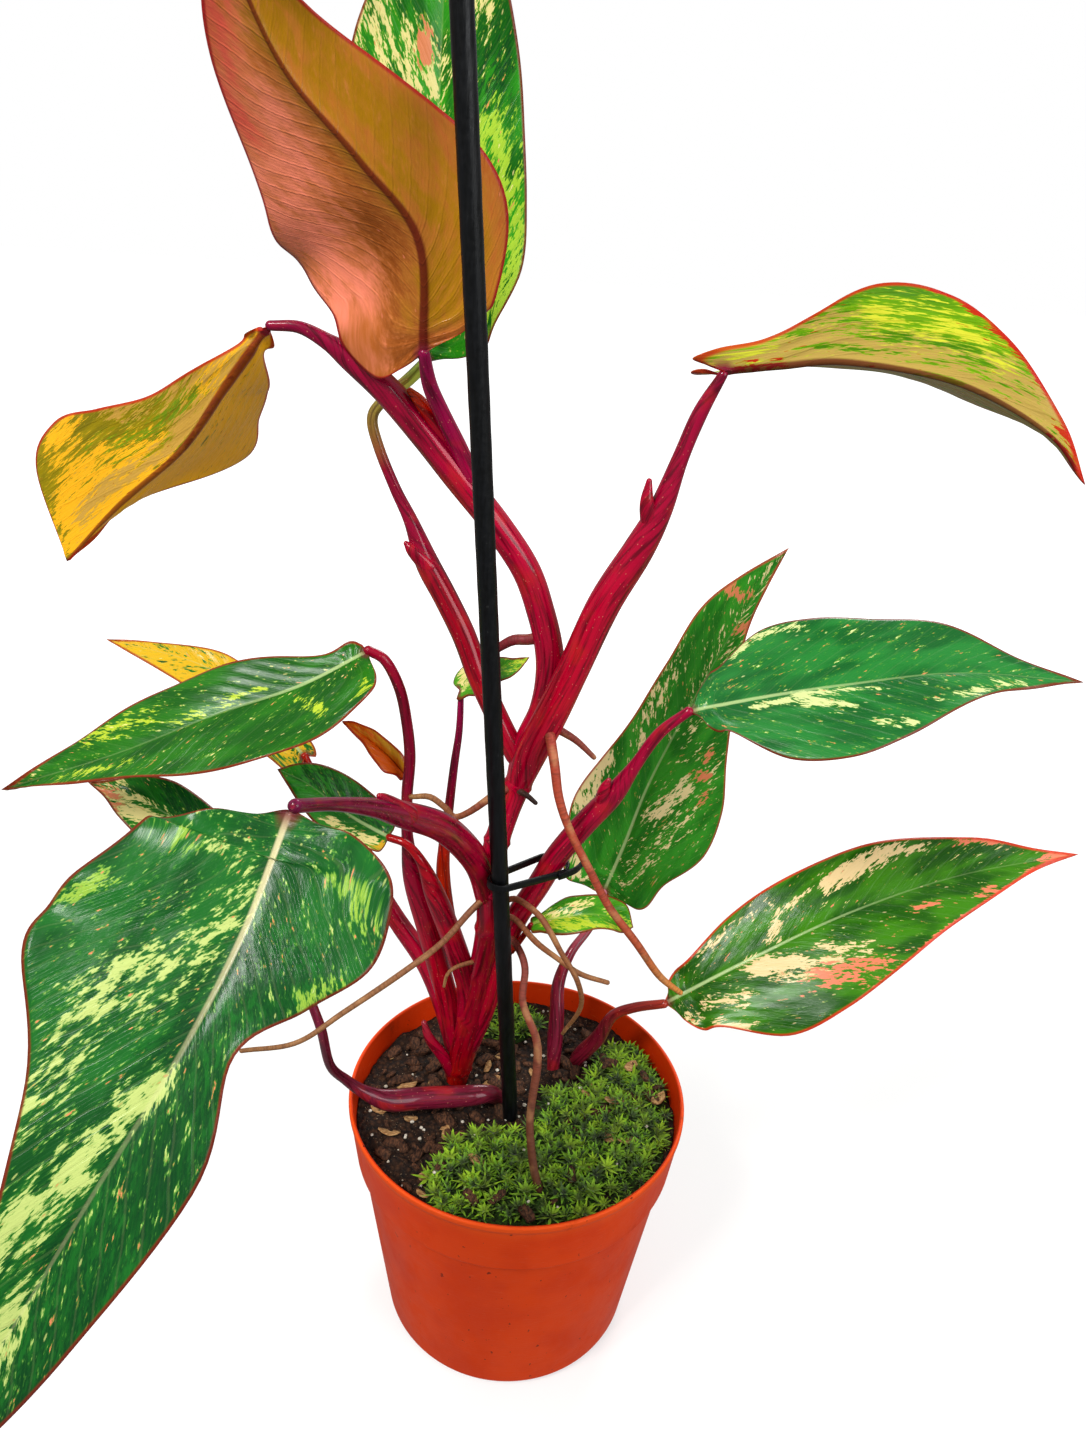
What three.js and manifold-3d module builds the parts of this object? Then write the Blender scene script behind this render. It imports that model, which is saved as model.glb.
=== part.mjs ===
// A potted strawberry shake philodendron: nursery pot, potting mix with moss, a support stake with
// its tie, stems with petioles and aerial roots, and fifteen leaf blades.
// Millimetres, +Z up, +X to the right, -Y to the front, origin at the middle of the pot's flat base.
import * as THREE from 'three';
import { mergeVertices } from 'three/addons/utils/BufferGeometryUtils.js';
import Module from 'manifold-3d';

const wasm = await Module();
wasm.setup();

// Pot.
const POT_HEIGHT = 98;
const RIM_RADIUS = 60;
const BAND_FOOT = 76;
const BAND_RADIUS = 57.4;
const BODY_RADIUS = 55.6;
const BASE_RADIUS = 46;
const FOOT_OUTER = 43;
const FOOT_INNER = 37;
const CENTRE_DISC = 14;
const BASE_RECESS = 2.4;
const POT_WALL = 1.4;
const FLOOR_TOP = 4;
const DRAINS = 8;
const DRAIN_RADIUS = 3.5;
const DRAIN_CIRCLE = 26;
const POT_SIDES = 36;

// Potting mix, with bark chips on it, and moss.
const SOIL_TOP = 89;
const BARK_CHIPS = 16;
const BARK_SIZES = [5, 9];
const MOSS_DEPTH = 5;
const MOSS_FOOT = 4;

// Support stake and its tie.
const STAKE_RADIUS = 2.7;
const STAKE_POINT = 12;
const STAKE_FOOT = [3.4, 1.4, 14];
const STAKE_TOP = [-32, -41, 515];
const TIE_THICKNESS = 0.8;
const TIE_HEIGHT = 2.4;
const TIE_TAIL = 9;
const TIE_STAKE_END = { centre: [-9.35, -13.9, 195], radius: 3.4 };
const TIE_PETIOLE_END = { centre: [6.2, -1, 194], radius: 5.2 };

// Leaf blades and stems.
const BLADE = 0.8;
const BLADE_GAP = 0.45;
const SMALL_LEAF = 70;
const VEIN_SWEEP = 1.25;
const VEIN_LEAD = 0.03;
const FIRST_VEINS = [0, 0.01, 0.03, 0.06];
const LOBE_INNER = { reach: 0.55, width: 0.24 };
const LOBE_END = { reach: 1, width: 0.56 };
const SHOULDER_WIDTH = 0.86;
const HEADING_SPAN = 0.14;
const CURL_WIDTH = 25;
const THIN_ROOT = 2;
const THINNEST = 0.5;
const RING_STEP = 9;

// Clearance between pieces that touch.
const CLEARANCE = 0.3;

const MATERIALS = {
  terracotta: { color: 0xd6421c, roughness: 0.45 },
  mix: { color: 0x2b1c12, roughness: 0.95 },
  moss: { color: 0x4f8a22, roughness: 0.9 },
  black: { color: 0x15161a, roughness: 0.4 },
  crimson: { color: 0x9c1830, roughness: 0.35 },
  maroon: { color: 0x6a2430, roughness: 0.4 },
  green: { color: 0x2f7a2c, roughness: 0.35 },
  lime: { color: 0x9fb52e, roughness: 0.4 },
  coral: { color: 0xc56a4a, roughness: 0.4 },
  orange: { color: 0xd08a2a, roughness: 0.4 },
};

// Leaf blades. Along the midrib from the petiole to the tip: points; the direction that the upper
// side faces; half widths of the right and left side at the stations; how far the base lobes reach
// back, as a share of the length; the angle at which each half rises from the midrib, and the
// further bend of it over 25 mm of width, in degrees. A heading is a span of its own for the
// blade's direction, where the midrib turns sharply.
const STATIONS = [0.1, 0.22, 0.36, 0.5, 0.64, 0.78, 0.9];
const LEAVES = {
  leaf_front_left: {
    colour: 'green',
    midrib: [[-48, -112, 275], [-53, -130, 259], [-61, -146, 243], [-73, -162, 224], [-88, -174, 198],
      [-102, -180, 176], [-119, -184, 148]],
    faces: [[0.1, -0.75, 0.65], [0.05, -0.9, 0.45], [-0.1, -0.95, 0.3]],
    stations: [0.07, 0.14, 0.2, 0.27, 0.4, 0.6, 0.8],
    right: [26, 32, 35, 34, 20, 9, 5], left: [25, 25, 17, 9, 15, 11, 6],
    lobes: [-0.03, -0.01], fold: [[8, 4], [8, 4]], curl: [-10, -10],
  },
  leaf_top_left: {
    colour: 'coral',
    midrib: [[-35, -12, 350], [-36, -16, 376], [-49, -20, 392], [-64, -24, 408], [-72, -30, 425],
      [-74, -40, 439]],
    faces: [[0.1, 0.95, 0.3], [0.1, 0.95, 0.3]],
    right: [27, 38, 39, 30, 21, 13, 6], left: [18, 22, 23, 19, 15, 9, 4],
    lobes: [0.07, -0.04], fold: [[10], [10]], curl: [10, 10], heading: 0.28,
  },
  leaf_top_back: {
    colour: 'lime',
    midrib: [[-39, 24, 343], [-38, 26, 370], [-37, 28, 406], [-36, 28, 434], [-35, 24, 465]],
    faces: [[0.1, -0.95, 0.2], [0.1, -0.95, 0.2]],
    right: [19, 25, 25, 23, 20, 15, 8], left: [14, 20, 23, 24, 22, 15, 7],
    lobes: [-0.02, -0.02], fold: [[10], [10]], curl: [0, 0],
  },
  leaf_upper_left: {
    colour: 'orange',
    midrib: [[-77, 0, 353], [-92, 8, 335], [-109, 18, 315], [-133, 28, 295], [-154, 34, 274]],
    faces: [[-0.2, 0.9, 0.4], [-0.2, 0.9, 0.4]],
    right: [6, 17, 24, 31, 12, 4, 2], left: [4, 9, 15, 20, 26, 33, 27],
    lobes: [-0.03, -0.03], fold: [[25, 45, 40, 38, 35], [25, 45, 45, 45, 45]], curl: [0, 0],
  },
  leaf_upper_right: {
    colour: 'lime',
    midrib: [[42, 0, 349], [56, 0, 351], [74, 0, 353], [102, -4, 350], [125, -10, 340], [135, -16, 329]],
    faces: [[0, 0.82, 0.57], [0.3, 0.82, 0.57]],
    right: [7, 12, 20, 21, 15, 8, 3], left: [10, 16, 20, 22, 18, 10, 5],
    lobes: [0.08, 0.08], fold: [[30, 55, 50], [50, 44, 45]], curl: [0, 0],
  },
  leaf_left: {
    colour: 'green',
    midrib: [[-52, 0, 264], [-71, -6, 254], [-94, -12, 246], [-123, -16, 233], [-160, -16, 218]],
    faces: [[0.1, -0.5, 0.85], [0, -0.5, 0.85]],
    right: [6, 12, 15, 15, 13, 9, 4], left: [17, 21, 21, 17, 11, 6, 3],
    lobes: [-0.01, -0.01], fold: [[10], [10]], curl: [-10, -10],
  },
  leaf_left_back: {
    colour: 'orange',
    midrib: [[-82, 40, 206], [-100, 46, 222], [-120, 52, 233], [-155, 58, 238]],
    faces: [[0.2, -0.4, 0.9], [0, -0.5, 0.85]],
    right: [6, 8, 8, 8, 6, 4, 2], left: [12, 15, 15, 13, 10, 6, 3],
    lobes: [0.03, 0.03], fold: [[10], [10]], curl: [-10, -10],
  },
  leaf_left_low: {
    colour: 'green',
    midrib: [[-85, -10, 187], [-106, -4, 199], [-125, 0, 208], [-142, 2, 212]],
    faces: [[0.2, -0.6, 0.8], [0, -0.6, 0.8]],
    right: [6, 8, 9, 10, 10, 7, 3], left: [10, 13, 14, 13, 11, 8, 3],
    lobes: [0.03, 0.03], fold: [[10], [10]], curl: [-10, -10],
  },
  leaf_centre_left: {
    colour: 'green',
    midrib: [[-46, 0, 200], [-59, 2, 206], [-72, 4, 215], [-82, 4, 220]],
    faces: [[0.1, -0.7, 0.75], [0, -0.6, 0.8]],
    right: [6, 9, 10, 10, 9, 7, 4], left: [7, 9, 9, 9, 8, 6, 3],
    lobes: [0, 0], fold: [[10], [10]], curl: [-10, -10],
  },
  leaf_small_orange: {
    colour: 'orange',
    midrib: [[-42, 8, 218], [-49, 10, 225], [-63, 13, 234]],
    faces: [[0.1, -0.7, 0.75], [0, -0.6, 0.8]],
    right: [3, 4, 4, 4, 4, 3, 2], left: [3, 6, 6, 5, 3, 2, 1],
    lobes: [0, 0], fold: [[30], [30]], curl: [0, 0],
  },
  leaf_right: {
    colour: 'green',
    midrib: [[44, 0, 251], [65, 0, 257], [90, 0, 263], [122, 2, 268], [160, 4, 267]],
    faces: [[-0.1, -0.5, 0.87], [0, -0.5, 0.87]],
    right: [12, 23, 26, 21, 14, 7, 3], left: [13, 25, 25, 23, 19, 10, 4],
    lobes: [-0.04, -0.04], fold: [[10], [10]], curl: [-15, -15],
  },
  leaf_right_back: {
    colour: 'green',
    midrib: [[28, 52, 149], [34, 52, 171], [41, 52, 199], [54, 50, 237], [66, 50, 267], [77, 50, 289]],
    faces: [[-0.1, -0.9, 0.4], [0.1, -0.9, 0.4]],
    right: [20, 29, 28, 20, 12, 5, 2], left: [20, 24, 20, 16, 15, 14, 8],
    lobes: [0, 0], fold: [[10], [10]], curl: [-5, -5],
  },
  leaf_right_low: {
    colour: 'green',
    midrib: [[50, 10, 132], [79, 14, 151], [112, 20, 169], [150, 28, 182], [193, 36, 189]],
    faces: [[-0.1, -0.6, 0.8], [-0.2, -0.6, 0.77]],
    right: [17, 29, 29, 24, 17, 10, 3], left: [10, 17, 20, 21, 18, 12, 5],
    lobes: [-0.03, -0.03], fold: [[10], [10]], curl: [-15, -15],
  },
  leaf_small_right: {
    colour: 'lime',
    midrib: [[1, -6, 174], [10, -7, 178], [23, -8, 181], [34, -8, 177]],
    faces: [[0, -0.4, 0.9], [0.1, -0.4, 0.9]],
    right: [4, 6, 7, 7, 6, 5, 4], left: [3, 5, 7, 7, 7, 7, 6],
    lobes: [0, 0], fold: [[10], [10]], curl: [-20, -20],
  },
  leaf_small_middle: {
    colour: 'lime',
    midrib: [[-27, 31, 239], [-19, 29, 246], [-11, 27, 251], [-5, 25, 255]],
    faces: [[0, -0.5, 0.87], [0, -0.5, 0.87]],
    right: [4, 6, 6, 6, 6, 6, 4], left: [8, 8, 6, 5, 4, 2, 1],
    lobes: [0.08, 0.08], fold: [[10], [10]], curl: [-20, -20],
  },
};

// Stems, petioles and roots: points x, y, z and the radius there. Those of one list grow together.
const CLUMP = {
  main_stem: [[-25, 13, 68, 3.6], [-23, 13, 90, 4.5], [-21, 12, 103, 5], [-18, 9, 124, 4.6],
    [-15, 5, 146, 4.4], [-13, -1, 169, 4.2], [-13, -4, 187, 4.2], [-12, -3, 200, 4], [-9, 0, 212, 4],
    [-6, 2, 221, 4.2], [-3, 3, 231, 5], [1, 4, 241, 5]],
  to_upper_left: [[-6, 2, 221, 4], [-3, 5, 234, 5], [1, 6, 245, 5], [2, 6, 256, 4.6],
    [1, 6, 266, 4.3], [-2, 6, 277, 4.2], [-7, 5, 290, 4.2], [-16, 4, 303, 4.2], [-27, 3, 316, 4.2],
    [-36, 2, 327, 4.2], [-46, 1, 338, 4], [-56, 1, 346, 3.4], [-62, 0, 350, 2.2], [-69, 0, 353, 1.6],
    [-76.5, -0.2, 353, 1.3]],
  to_upper_right: [[-6, 2, 221, 4], [-2, 1, 234, 5], [3, 0, 247, 5], [9, -1, 264, 4.8],
    [16, -2, 284, 4.8], [24, -2, 300, 4.4], [29, -2, 312, 3.4], [33, -1, 326, 2.3], [37, 0, 338, 2.1],
    [41.7, -0.3, 348.1, 1.3]],
  to_top_left: [[-35, -12, 350, 1.5], [-34, -8, 342, 2], [-31, -4, 334, 2.2], [-27, 0, 325, 2.4],
    [-23, 2, 316, 2.6], [-17, 4, 306, 2.6]],
  to_top_back: [[-39, 24, 343, 1.8], [-44, 24, 338, 1.8], [-51, 23, 332, 1.6], [-54, 22, 327, 1.6],
    [-52, 21, 319, 1.6], [-47, 19, 308, 1.7], [-42, 17, 299, 2.2], [-37, 16, 287, 3.6],
    [-31, 14, 277, 3.7], [-25, 12, 266, 3.7], [-20, 10, 254, 3.6], [-14, 8, 242, 3.5],
    [-7, 5, 230, 3.5]],
  to_front_left: [[-13.5, -3, 181, 4], [-16, -8, 195, 4.2], [-20, -18, 209, 4.2], [-26, -36, 227, 4],
    [-34, -54, 241, 3.6], [-39, -70, 252, 2.4], [-44, -90, 264, 1.6], [-47, -112, 276, 1.5]],
  to_left: [[-52, 0, 264, 1.5], [-47, 0, 261, 1.6], [-43, 1, 252, 1.7], [-41, 2, 241, 1.7],
    [-40, 3, 228, 1.8], [-41, 4, 212, 1.8], [-41, 6, 196, 2], [-39, 8, 179, 3.6], [-34, 10, 157, 4],
    [-30, 12, 138, 4], [-26, 13, 120, 3.8], [-22, 13, 99, 3.2]],
  to_centre_left: [[-46, 0, 200, 1.3], [-40, -2, 199, 1.4], [-35, -3, 193, 1.8], [-31, -1, 180, 3.4],
    [-25, 3, 159, 3.8], [-20, 7, 137, 3.8], [-20, 10, 119, 3.6], [-21, 12, 100, 3]],
  to_small_orange: [[-42, 8, 218, 1], [-42, 6, 211, 1.1], [-41, 5, 200, 1.2]],
  to_left_back: [[-82, 40, 206, 1.4], [-70, 36, 181, 1.6], [-58, 31, 165, 2.4], [-48, 27, 149, 3.4],
    [-37, 22, 135, 3.6], [-30, 18, 120, 3.4], [-25, 15, 102, 3]],
  to_small_middle: [[-27, 31, 238, 1], [-27, 28, 226, 1.2], [-28, 24, 215, 1.4], [-29, 20, 201, 1.6],
    [-30, 17, 188, 2], [-30, 15, 177, 2.4], [-28, 12, 165, 2.4], [-24, 8, 151, 2]],
  to_right: [[44, 0, 251, 1.5], [36, 0, 243, 1.8], [30, 0, 232, 2], [24, 0, 221, 3.4],
    [16, 0, 210, 3.8], [8, -1, 198, 3.8], [2, -1, 185, 3.8], [-4, 0, 172, 3.8], [-9, 4, 152, 3.6],
    [-13, 8, 128, 3.6], [-18, 11, 106, 3]],
  to_small_right: [[-5, 2, 157, 1.2], [-2, -2, 165, 1], [1, -6, 174, 0.9]],
  base_bract: [[-35, 8, 118, 1], [-33, 8, 111, 1.8], [-28, 9, 102, 2.2], [-25, 11, 93, 2.2]],
  top_bract: [[-40, -1, 339, 0.9], [-37, -1, 336, 1.8], [-33, 1, 330, 2.2], [-29, 3, 323, 2]],
  sheath_tip_upper_right: [[27, -2, 307, 3], [25, -4, 314, 2], [25, -4, 320, 0.8]],
  sheath_tip_top_back: [[-36, 15, 286, 3], [-41, 14, 291, 2], [-43, 14, 293, 0.8]],
  sheath_tip_right: [[21, 0, 218, 3], [21, -2, 224, 1.8], [22, -2, 227, 0.8]],
  sheath_tip_front_left: [[-33, -54, 241, 3], [-37, -63, 250, 1.8], [-38, -66, 253, 0.8]],
  root_long_right: [[3, -4, 242, 1.6], [5, -8, 234, 1.5], [7, -10, 224, 1.4], [11, -12, 214, 1.3],
    [18, -13, 201, 1.3], [25, -13, 188, 1.3], [35, -12, 174, 1.3], [44, -10, 160, 1.2],
    [52, -8, 152, 0.9]],
  root_short_right: [[4, 2, 242, 1.4], [11, 2, 238, 1.1], [17, 1, 233, 0.8]],
  root_long_left: [[-13, -4, 184, 1.2], [-19, -10, 180, 1.1], [-27, -16, 172, 1], [-39, -24, 165, 1],
    [-55, -34, 157, 0.9], [-68, -42, 151, 0.8], [-83, -48, 152, 0.7]],
  root_hooked: [[-13, -5, 182, 1], [-9, -7, 183, 1], [-4, -8, 185, 1], [3, -14, 184, 1],
    [7, -17, 180, 1], [11, -18, 173, 0.9], [17, -18, 162, 0.9], [19, -15, 149, 0.8],
    [14, -11, 134, 0.6]],
  root_cut: [[-13, -4, 178, 1], [-9, -7, 178, 1], [-4, -8, 177, 1], [3, -11, 171, 1],
    [10, -12, 166, 0.9], [18, -13, 161, 0.9], [27, -14, 159, 0.8]],
  root_down: [[-7, -1, 166, 1.2], [-3, -6, 165, 1.2], [0, -12, 161, 1.2], [0, -18, 152, 1.2],
    [5, -23, 142, 1.3], [6, -26, 133, 1.4], [5, -30, 121, 1.3], [5, -33, 112, 1.3], [7, -36, 99, 1.4],
    [10, -38, 88, 1.5]],
  root_loop: [[-16, 2, 152, 0.8], [-23, -2, 152, 0.7], [-26, -4, 150, 0.6], [-27, -4, 145, 0.5]],
  root_short_left: [[-39, -1, 216, 0.8], [-33, -2, 217, 1], [-28, -3, 214, 1], [-25, -3, 211, 1],
    [-20, -4, 214, 1.1], [-12, -2, 220, 1.3], [-7, 1, 221, 1.3]],
  root_bud: [[0, 6, 270, 1.8], [-5, 7, 268, 1.7], [-10, 8, 267, 1.6], [-15, 10, 263, 1.3]],
  root_dark: [[-7, 0, 221, 1.1], [-3, -4, 221, 0.9], [0, -5, 219, 0.7]],
};
const SHOOT_RIGHT_BACK = {
  to_right_back: [[28, 52, 149, 1.5], [24, 47, 137, 1.6], [17, 40, 129, 1.8], [13, 34, 119, 2.4],
    [13, 29, 109, 2.8], [13, 25, 99, 3], [13, 21, 90, 2.4], [13, 19, 74, 2]],
};
const SHOOT_RIGHT_LOW = {
  to_right_low: [[50, 10, 132, 1.6], [40, 14, 126, 1.8], [33, 18, 118, 2], [29, 22, 104, 2.8],
    [23, 24, 93, 3], [21, 26, 84, 2.4], [20, 28, 76, 2]],
};
const SHOOT_LEFT_LOW = {
  to_left_low: [[-4, 8, 74, 2.4], [-6, 5, 86, 2.8], [-10, 0, 94, 3.2], [-18, -3, 95.5, 3.8],
    [-34, -6, 96, 4], [-45, -10, 98, 3.8], [-53, -12, 103, 2.4], [-59, -14, 110, 1.8],
    [-63, -20, 122, 1.6], [-64, -26, 142, 1.6], [-67, -25, 152, 1.5], [-74, -19, 169, 1.5],
    [-85, -10, 187, 1.4]],
};

// The moss covers this part of the mix, seen from above.
const MOSS_RIGHT = [[-26, -47], [-27, -30], [-16, -17], [4, -12], [8, 4], [24, 12], [32, 30], [42, 33],
  [52, 15], [55, -8], [47, -30], [33, -44], [13, -51], [-9, -52]];
const MOSS_BACK = [[-22, 40], [-16, 51], [2, 52], [8, 44], [0, 34], [-14, 32]];

// Curve through points, with the plain Catmull-Rom rule.
function through(points, closed = false) {
  const vectors = points.map(([x, y, z = 0]) => new THREE.Vector3(x, y, z));
  return new THREE.CatmullRomCurve3(vectors, closed, 'catmullrom', 0.5);
}

// Value of a short list at a share 0 to 1 of the way along it.
function along(values, share) {
  if (values.length === 1) return values[0];
  const place = THREE.MathUtils.clamp(share, 0, 1) * (values.length - 1);
  const index = Math.min(Math.floor(place), values.length - 2);
  return THREE.MathUtils.lerp(values[index], values[index + 1], place - index);
}

// Closed mesh geometry from plain lists of points and triangles.
function geometryOf(points, triangles) {
  const geometry = new THREE.BufferGeometry();
  geometry.setAttribute('position', new THREE.Float32BufferAttribute(points.flat(), 3));
  geometry.setIndex(triangles.flat());
  return geometry;
}

function toManifold(geometry) {
  const bare = geometry.clone();
  bare.deleteAttribute('normal');
  bare.deleteAttribute('uv');
  const merged = mergeVertices(bare, 1e-4);
  return new wasm.Manifold(new wasm.Mesh({
    numProp: 3,
    vertProperties: new Float32Array(merged.getAttribute('position').array),
    triVerts: new Uint32Array(merged.index.array),
  }));
}

function toGeometry(manifold) {
  const { vertProperties, triVerts } = manifold.getMesh();
  return geometryOf(Array.from(vertProperties), Array.from(triVerts));
}

function joined(solids) {
  return solids.reduce((all, next) => all.add(next));
}

// The largest single body of a cut solid, without the crumbs that a cut leaves.
function mainBody(manifold) {
  return manifold.decompose().sort((a, b) => b.volume() - a.volume())[0];
}

function lathe(profile, sides) {
  const points = profile.map(([radius, height]) => new THREE.Vector2(radius, height));
  return new THREE.LatheGeometry(points, sides);
}

// Inside of the pot's wall, from the floor up, moved in by a gap.
function insideWall(gap = 0) {
  return [[BASE_RADIUS - 2 * POT_WALL, FLOOR_TOP + gap], [BASE_RADIUS - POT_WALL, FLOOR_TOP + POT_WALL],
    [BODY_RADIUS - POT_WALL, BAND_FOOT - 1], [BAND_RADIUS - POT_WALL, BAND_FOOT + 1],
    [RIM_RADIUS - POT_WALL, POT_HEIGHT]].map(([radius, height]) => [radius - gap, height]);
}

// Nursery pot: thin wall, rim band, foot ring, recessed base with drain holes and a flat centre disc.
function pot() {
  const outside = [[0, 0], [CENTRE_DISC, 0], [CENTRE_DISC + 1.5, BASE_RECESS],
    [FOOT_INNER - 1.5, BASE_RECESS], [FOOT_INNER, 0], [FOOT_OUTER, 0], [BASE_RADIUS, BASE_RECESS],
    [BODY_RADIUS, BAND_FOOT - 1], [BAND_RADIUS, BAND_FOOT], [RIM_RADIUS, POT_HEIGHT - 0.6],
    [RIM_RADIUS - 0.4, POT_HEIGHT]];
  const profile = [...outside, ...insideWall().reverse(), [0, FLOOR_TOP]];
  const shell = toManifold(lathe(profile, POT_SIDES).rotateX(Math.PI / 2));
  const drain = new THREE.CylinderGeometry(DRAIN_RADIUS, DRAIN_RADIUS, 3 * FLOOR_TOP, 10);
  drain.rotateX(Math.PI / 2).translate(DRAIN_CIRCLE, 0, FLOOR_TOP);
  const drains = Array.from({ length: DRAINS },
    (_, i) => toManifold(drain.clone().rotateZ((i / DRAINS) * 2 * Math.PI)));
  return shell.subtract(joined(drains));
}

// Height of the mix, which is a little uneven.
function soilHeight(x, y) {
  return SOIL_TOP + 0.5 * Math.sin(x * 0.17 + y * 0.11) + 0.4 * Math.sin(x * 0.31 - y * 0.23 + 1.3)
    + 0.3 * Math.sin(y * 0.41 + 0.6);
}

// Potting mix: it fills the pot up to its uneven top, where bark chips lie sunk in it.
function soil() {
  const wall = insideWall(CLEARANCE);
  const [shoulder, rim] = wall.slice(-2);
  const rise = (SOIL_TOP - shoulder[1]) / (rim[1] - shoulder[1]);
  const edge = THREE.MathUtils.lerp(shoulder[0], rim[0], rise);
  const profile = [[0, wall[0][1]], ...wall.slice(0, -1)];
  for (const part of [1, 0.84, 0.66, 0.48, 0.3, 0.15, 0]) profile.push([edge * part, SOIL_TOP]);
  const body = lathe(profile, POT_SIDES).rotateX(Math.PI / 2);
  const position = body.getAttribute('position');
  for (let i = 0; i < position.count; i += 1) {
    const [x, y, z] = [position.getX(i), position.getY(i), position.getZ(i)];
    if (z > SOIL_TOP - 1) position.setZ(i, soilHeight(x, y));
  }
  return joined([toManifold(body), ...barkChips()]);
}

// Bark chips, where no moss grows. The draw is seeded.
function barkChips() {
  let seed = 7;
  const draw = (from, to) => {
    seed = (seed * 16807) % 2147483647;
    return THREE.MathUtils.lerp(from, to, seed / 2147483647);
  };
  const chips = [];
  while (chips.length < BARK_CHIPS) {
    const [x, y] = [draw(-50, 50), draw(-50, 50)];
    const [turn, tilt, size] = [draw(0, Math.PI), draw(-0.4, 0.4), draw(...BARK_SIZES)];
    const bare = x < -33 || (x < -16 && y > -6 && y < 26) || (x > 16 && y > 42);
    if (bare && Math.hypot(x, y) < 50) {
      const chip = new THREE.BoxGeometry(size, size * 0.5, size * 0.3);
      chip.rotateX(tilt).rotateZ(turn).translate(x, y, soilHeight(x, y) + 0.5);
      chips.push(toManifold(chip));
    }
  }
  return chips;
}

// Moss cushion: an outline seen from above, domed and lumpy, with its foot cut to rest on the mix.
function moss(outline, mix) {
  const loop = through(outline, true);
  const centre = loop.points.reduce((sum, point) => sum.add(point), new THREE.Vector3())
    .divideScalar(outline.length);
  const around = 3 * outline.length;
  const shares = [1, 0.92, 0.75, 0.55, 0.3];
  const points = [];
  shares.forEach((share, ring) => {
    for (let i = 0; i < around; i += 1) {
      const { x, y } = loop.getPoint(i / around).lerp(centre, 1 - share);
      const lump = 0.9 * Math.sin(x * 0.55) * Math.cos(y * 0.5) + 0.5 * Math.sin(x * 0.9 + y * 1.1);
      const rise = ring === 0 ? 1.2 : MOSS_DEPTH * (1 - 0.45 * share) + lump;
      points.push([x, y, SOIL_TOP + rise]);
    }
  });
  const bottom = points.length;
  for (let i = 0; i < around; i += 1) points.push([points[i][0], points[i][1], SOIL_TOP - MOSS_FOOT]);
  const top = points.push([centre.x, centre.y, SOIL_TOP + MOSS_DEPTH]) - 1;
  const under = points.push([centre.x, centre.y, SOIL_TOP - MOSS_FOOT]) - 1;
  const inner = (shares.length - 1) * around;
  const triangles = [];
  for (let i = 0; i < around; i += 1) {
    const next = (i + 1) % around;
    for (let ring = 0; ring < shares.length - 1; ring += 1) {
      const [a, b] = [ring * around + i, ring * around + next];
      triangles.push([a, b + around, b], [a, a + around, b + around]);
    }
    triangles.push([inner + i, top, inner + next], [bottom + i, bottom + next, under]);
    triangles.push([bottom + i, next, bottom + next], [bottom + i, i, next]);
  }
  return toManifold(geometryOf(points, triangles)).subtract(mix.translate([0, 0, CLEARANCE]));
}

// Support stake: a plain rod with a rounded top, pointed where it goes into the mix.
function stake(extra = 0) {
  const foot = new THREE.Vector3(...STAKE_FOOT);
  const top = new THREE.Vector3(...STAKE_TOP);
  const length = foot.distanceTo(top);
  const radius = STAKE_RADIUS + extra;
  const rod = lathe([[0, -extra], [radius * 0.4, 1.5], [radius, STAKE_POINT], [radius, length - 2],
    [radius * 0.7, length - 0.6], [0, length]], 12);
  const turn = new THREE.Quaternion().setFromUnitVectors(
    new THREE.Vector3(0, 1, 0), top.clone().sub(foot).normalize());
  return toManifold(rod.applyQuaternion(turn).translate(...STAKE_FOOT));
}

// Round the two circles of the tie: a near one at the origin, a far one along +X.
function tieLoop(path, distance, extra) {
  const [near, far] = [TIE_STAKE_END.radius + extra, TIE_PETIOLE_END.radius + extra];
  const lean = Math.asin((far - near) / distance);
  path.absarc(0, 0, near, Math.PI / 2 + lean, 1.5 * Math.PI - lean, false);
  path.absarc(distance, 0, far, -Math.PI / 2 - lean, Math.PI / 2 + lean, false);
  path.closePath();
  return path;
}

// Tie: a flat band round the stake and the petiole of the right leaf, with a loose tail.
function tie() {
  const from = new THREE.Vector3(...TIE_STAKE_END.centre);
  const to = new THREE.Vector3(...TIE_PETIOLE_END.centre);
  const distance = from.distanceTo(to);
  const outline = tieLoop(new THREE.Shape(), distance, TIE_THICKNESS);
  outline.holes.push(tieLoop(new THREE.Path(), distance, 0));
  const options = { depth: TIE_HEIGHT, bevelEnabled: false, curveSegments: 8 };
  const band = new THREE.ExtrudeGeometry(outline, options).translate(0, 0, -TIE_HEIGHT / 2);
  const tail = new THREE.BoxGeometry(TIE_TAIL, TIE_THICKNESS, TIE_HEIGHT);
  tail.translate(distance + TIE_TAIL / 2, -TIE_PETIOLE_END.radius - TIE_THICKNESS / 2 - 0.1, 0);
  const forward = to.clone().sub(from).normalize();
  const side = new THREE.Vector3(0, 0, 1).cross(forward).normalize();
  const frame = new THREE.Matrix4().makeBasis(forward, side, forward.clone().cross(side));
  frame.setPosition(from);
  return joined([band, tail].map((piece) => toManifold(piece.applyMatrix4(frame))));
}

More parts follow.
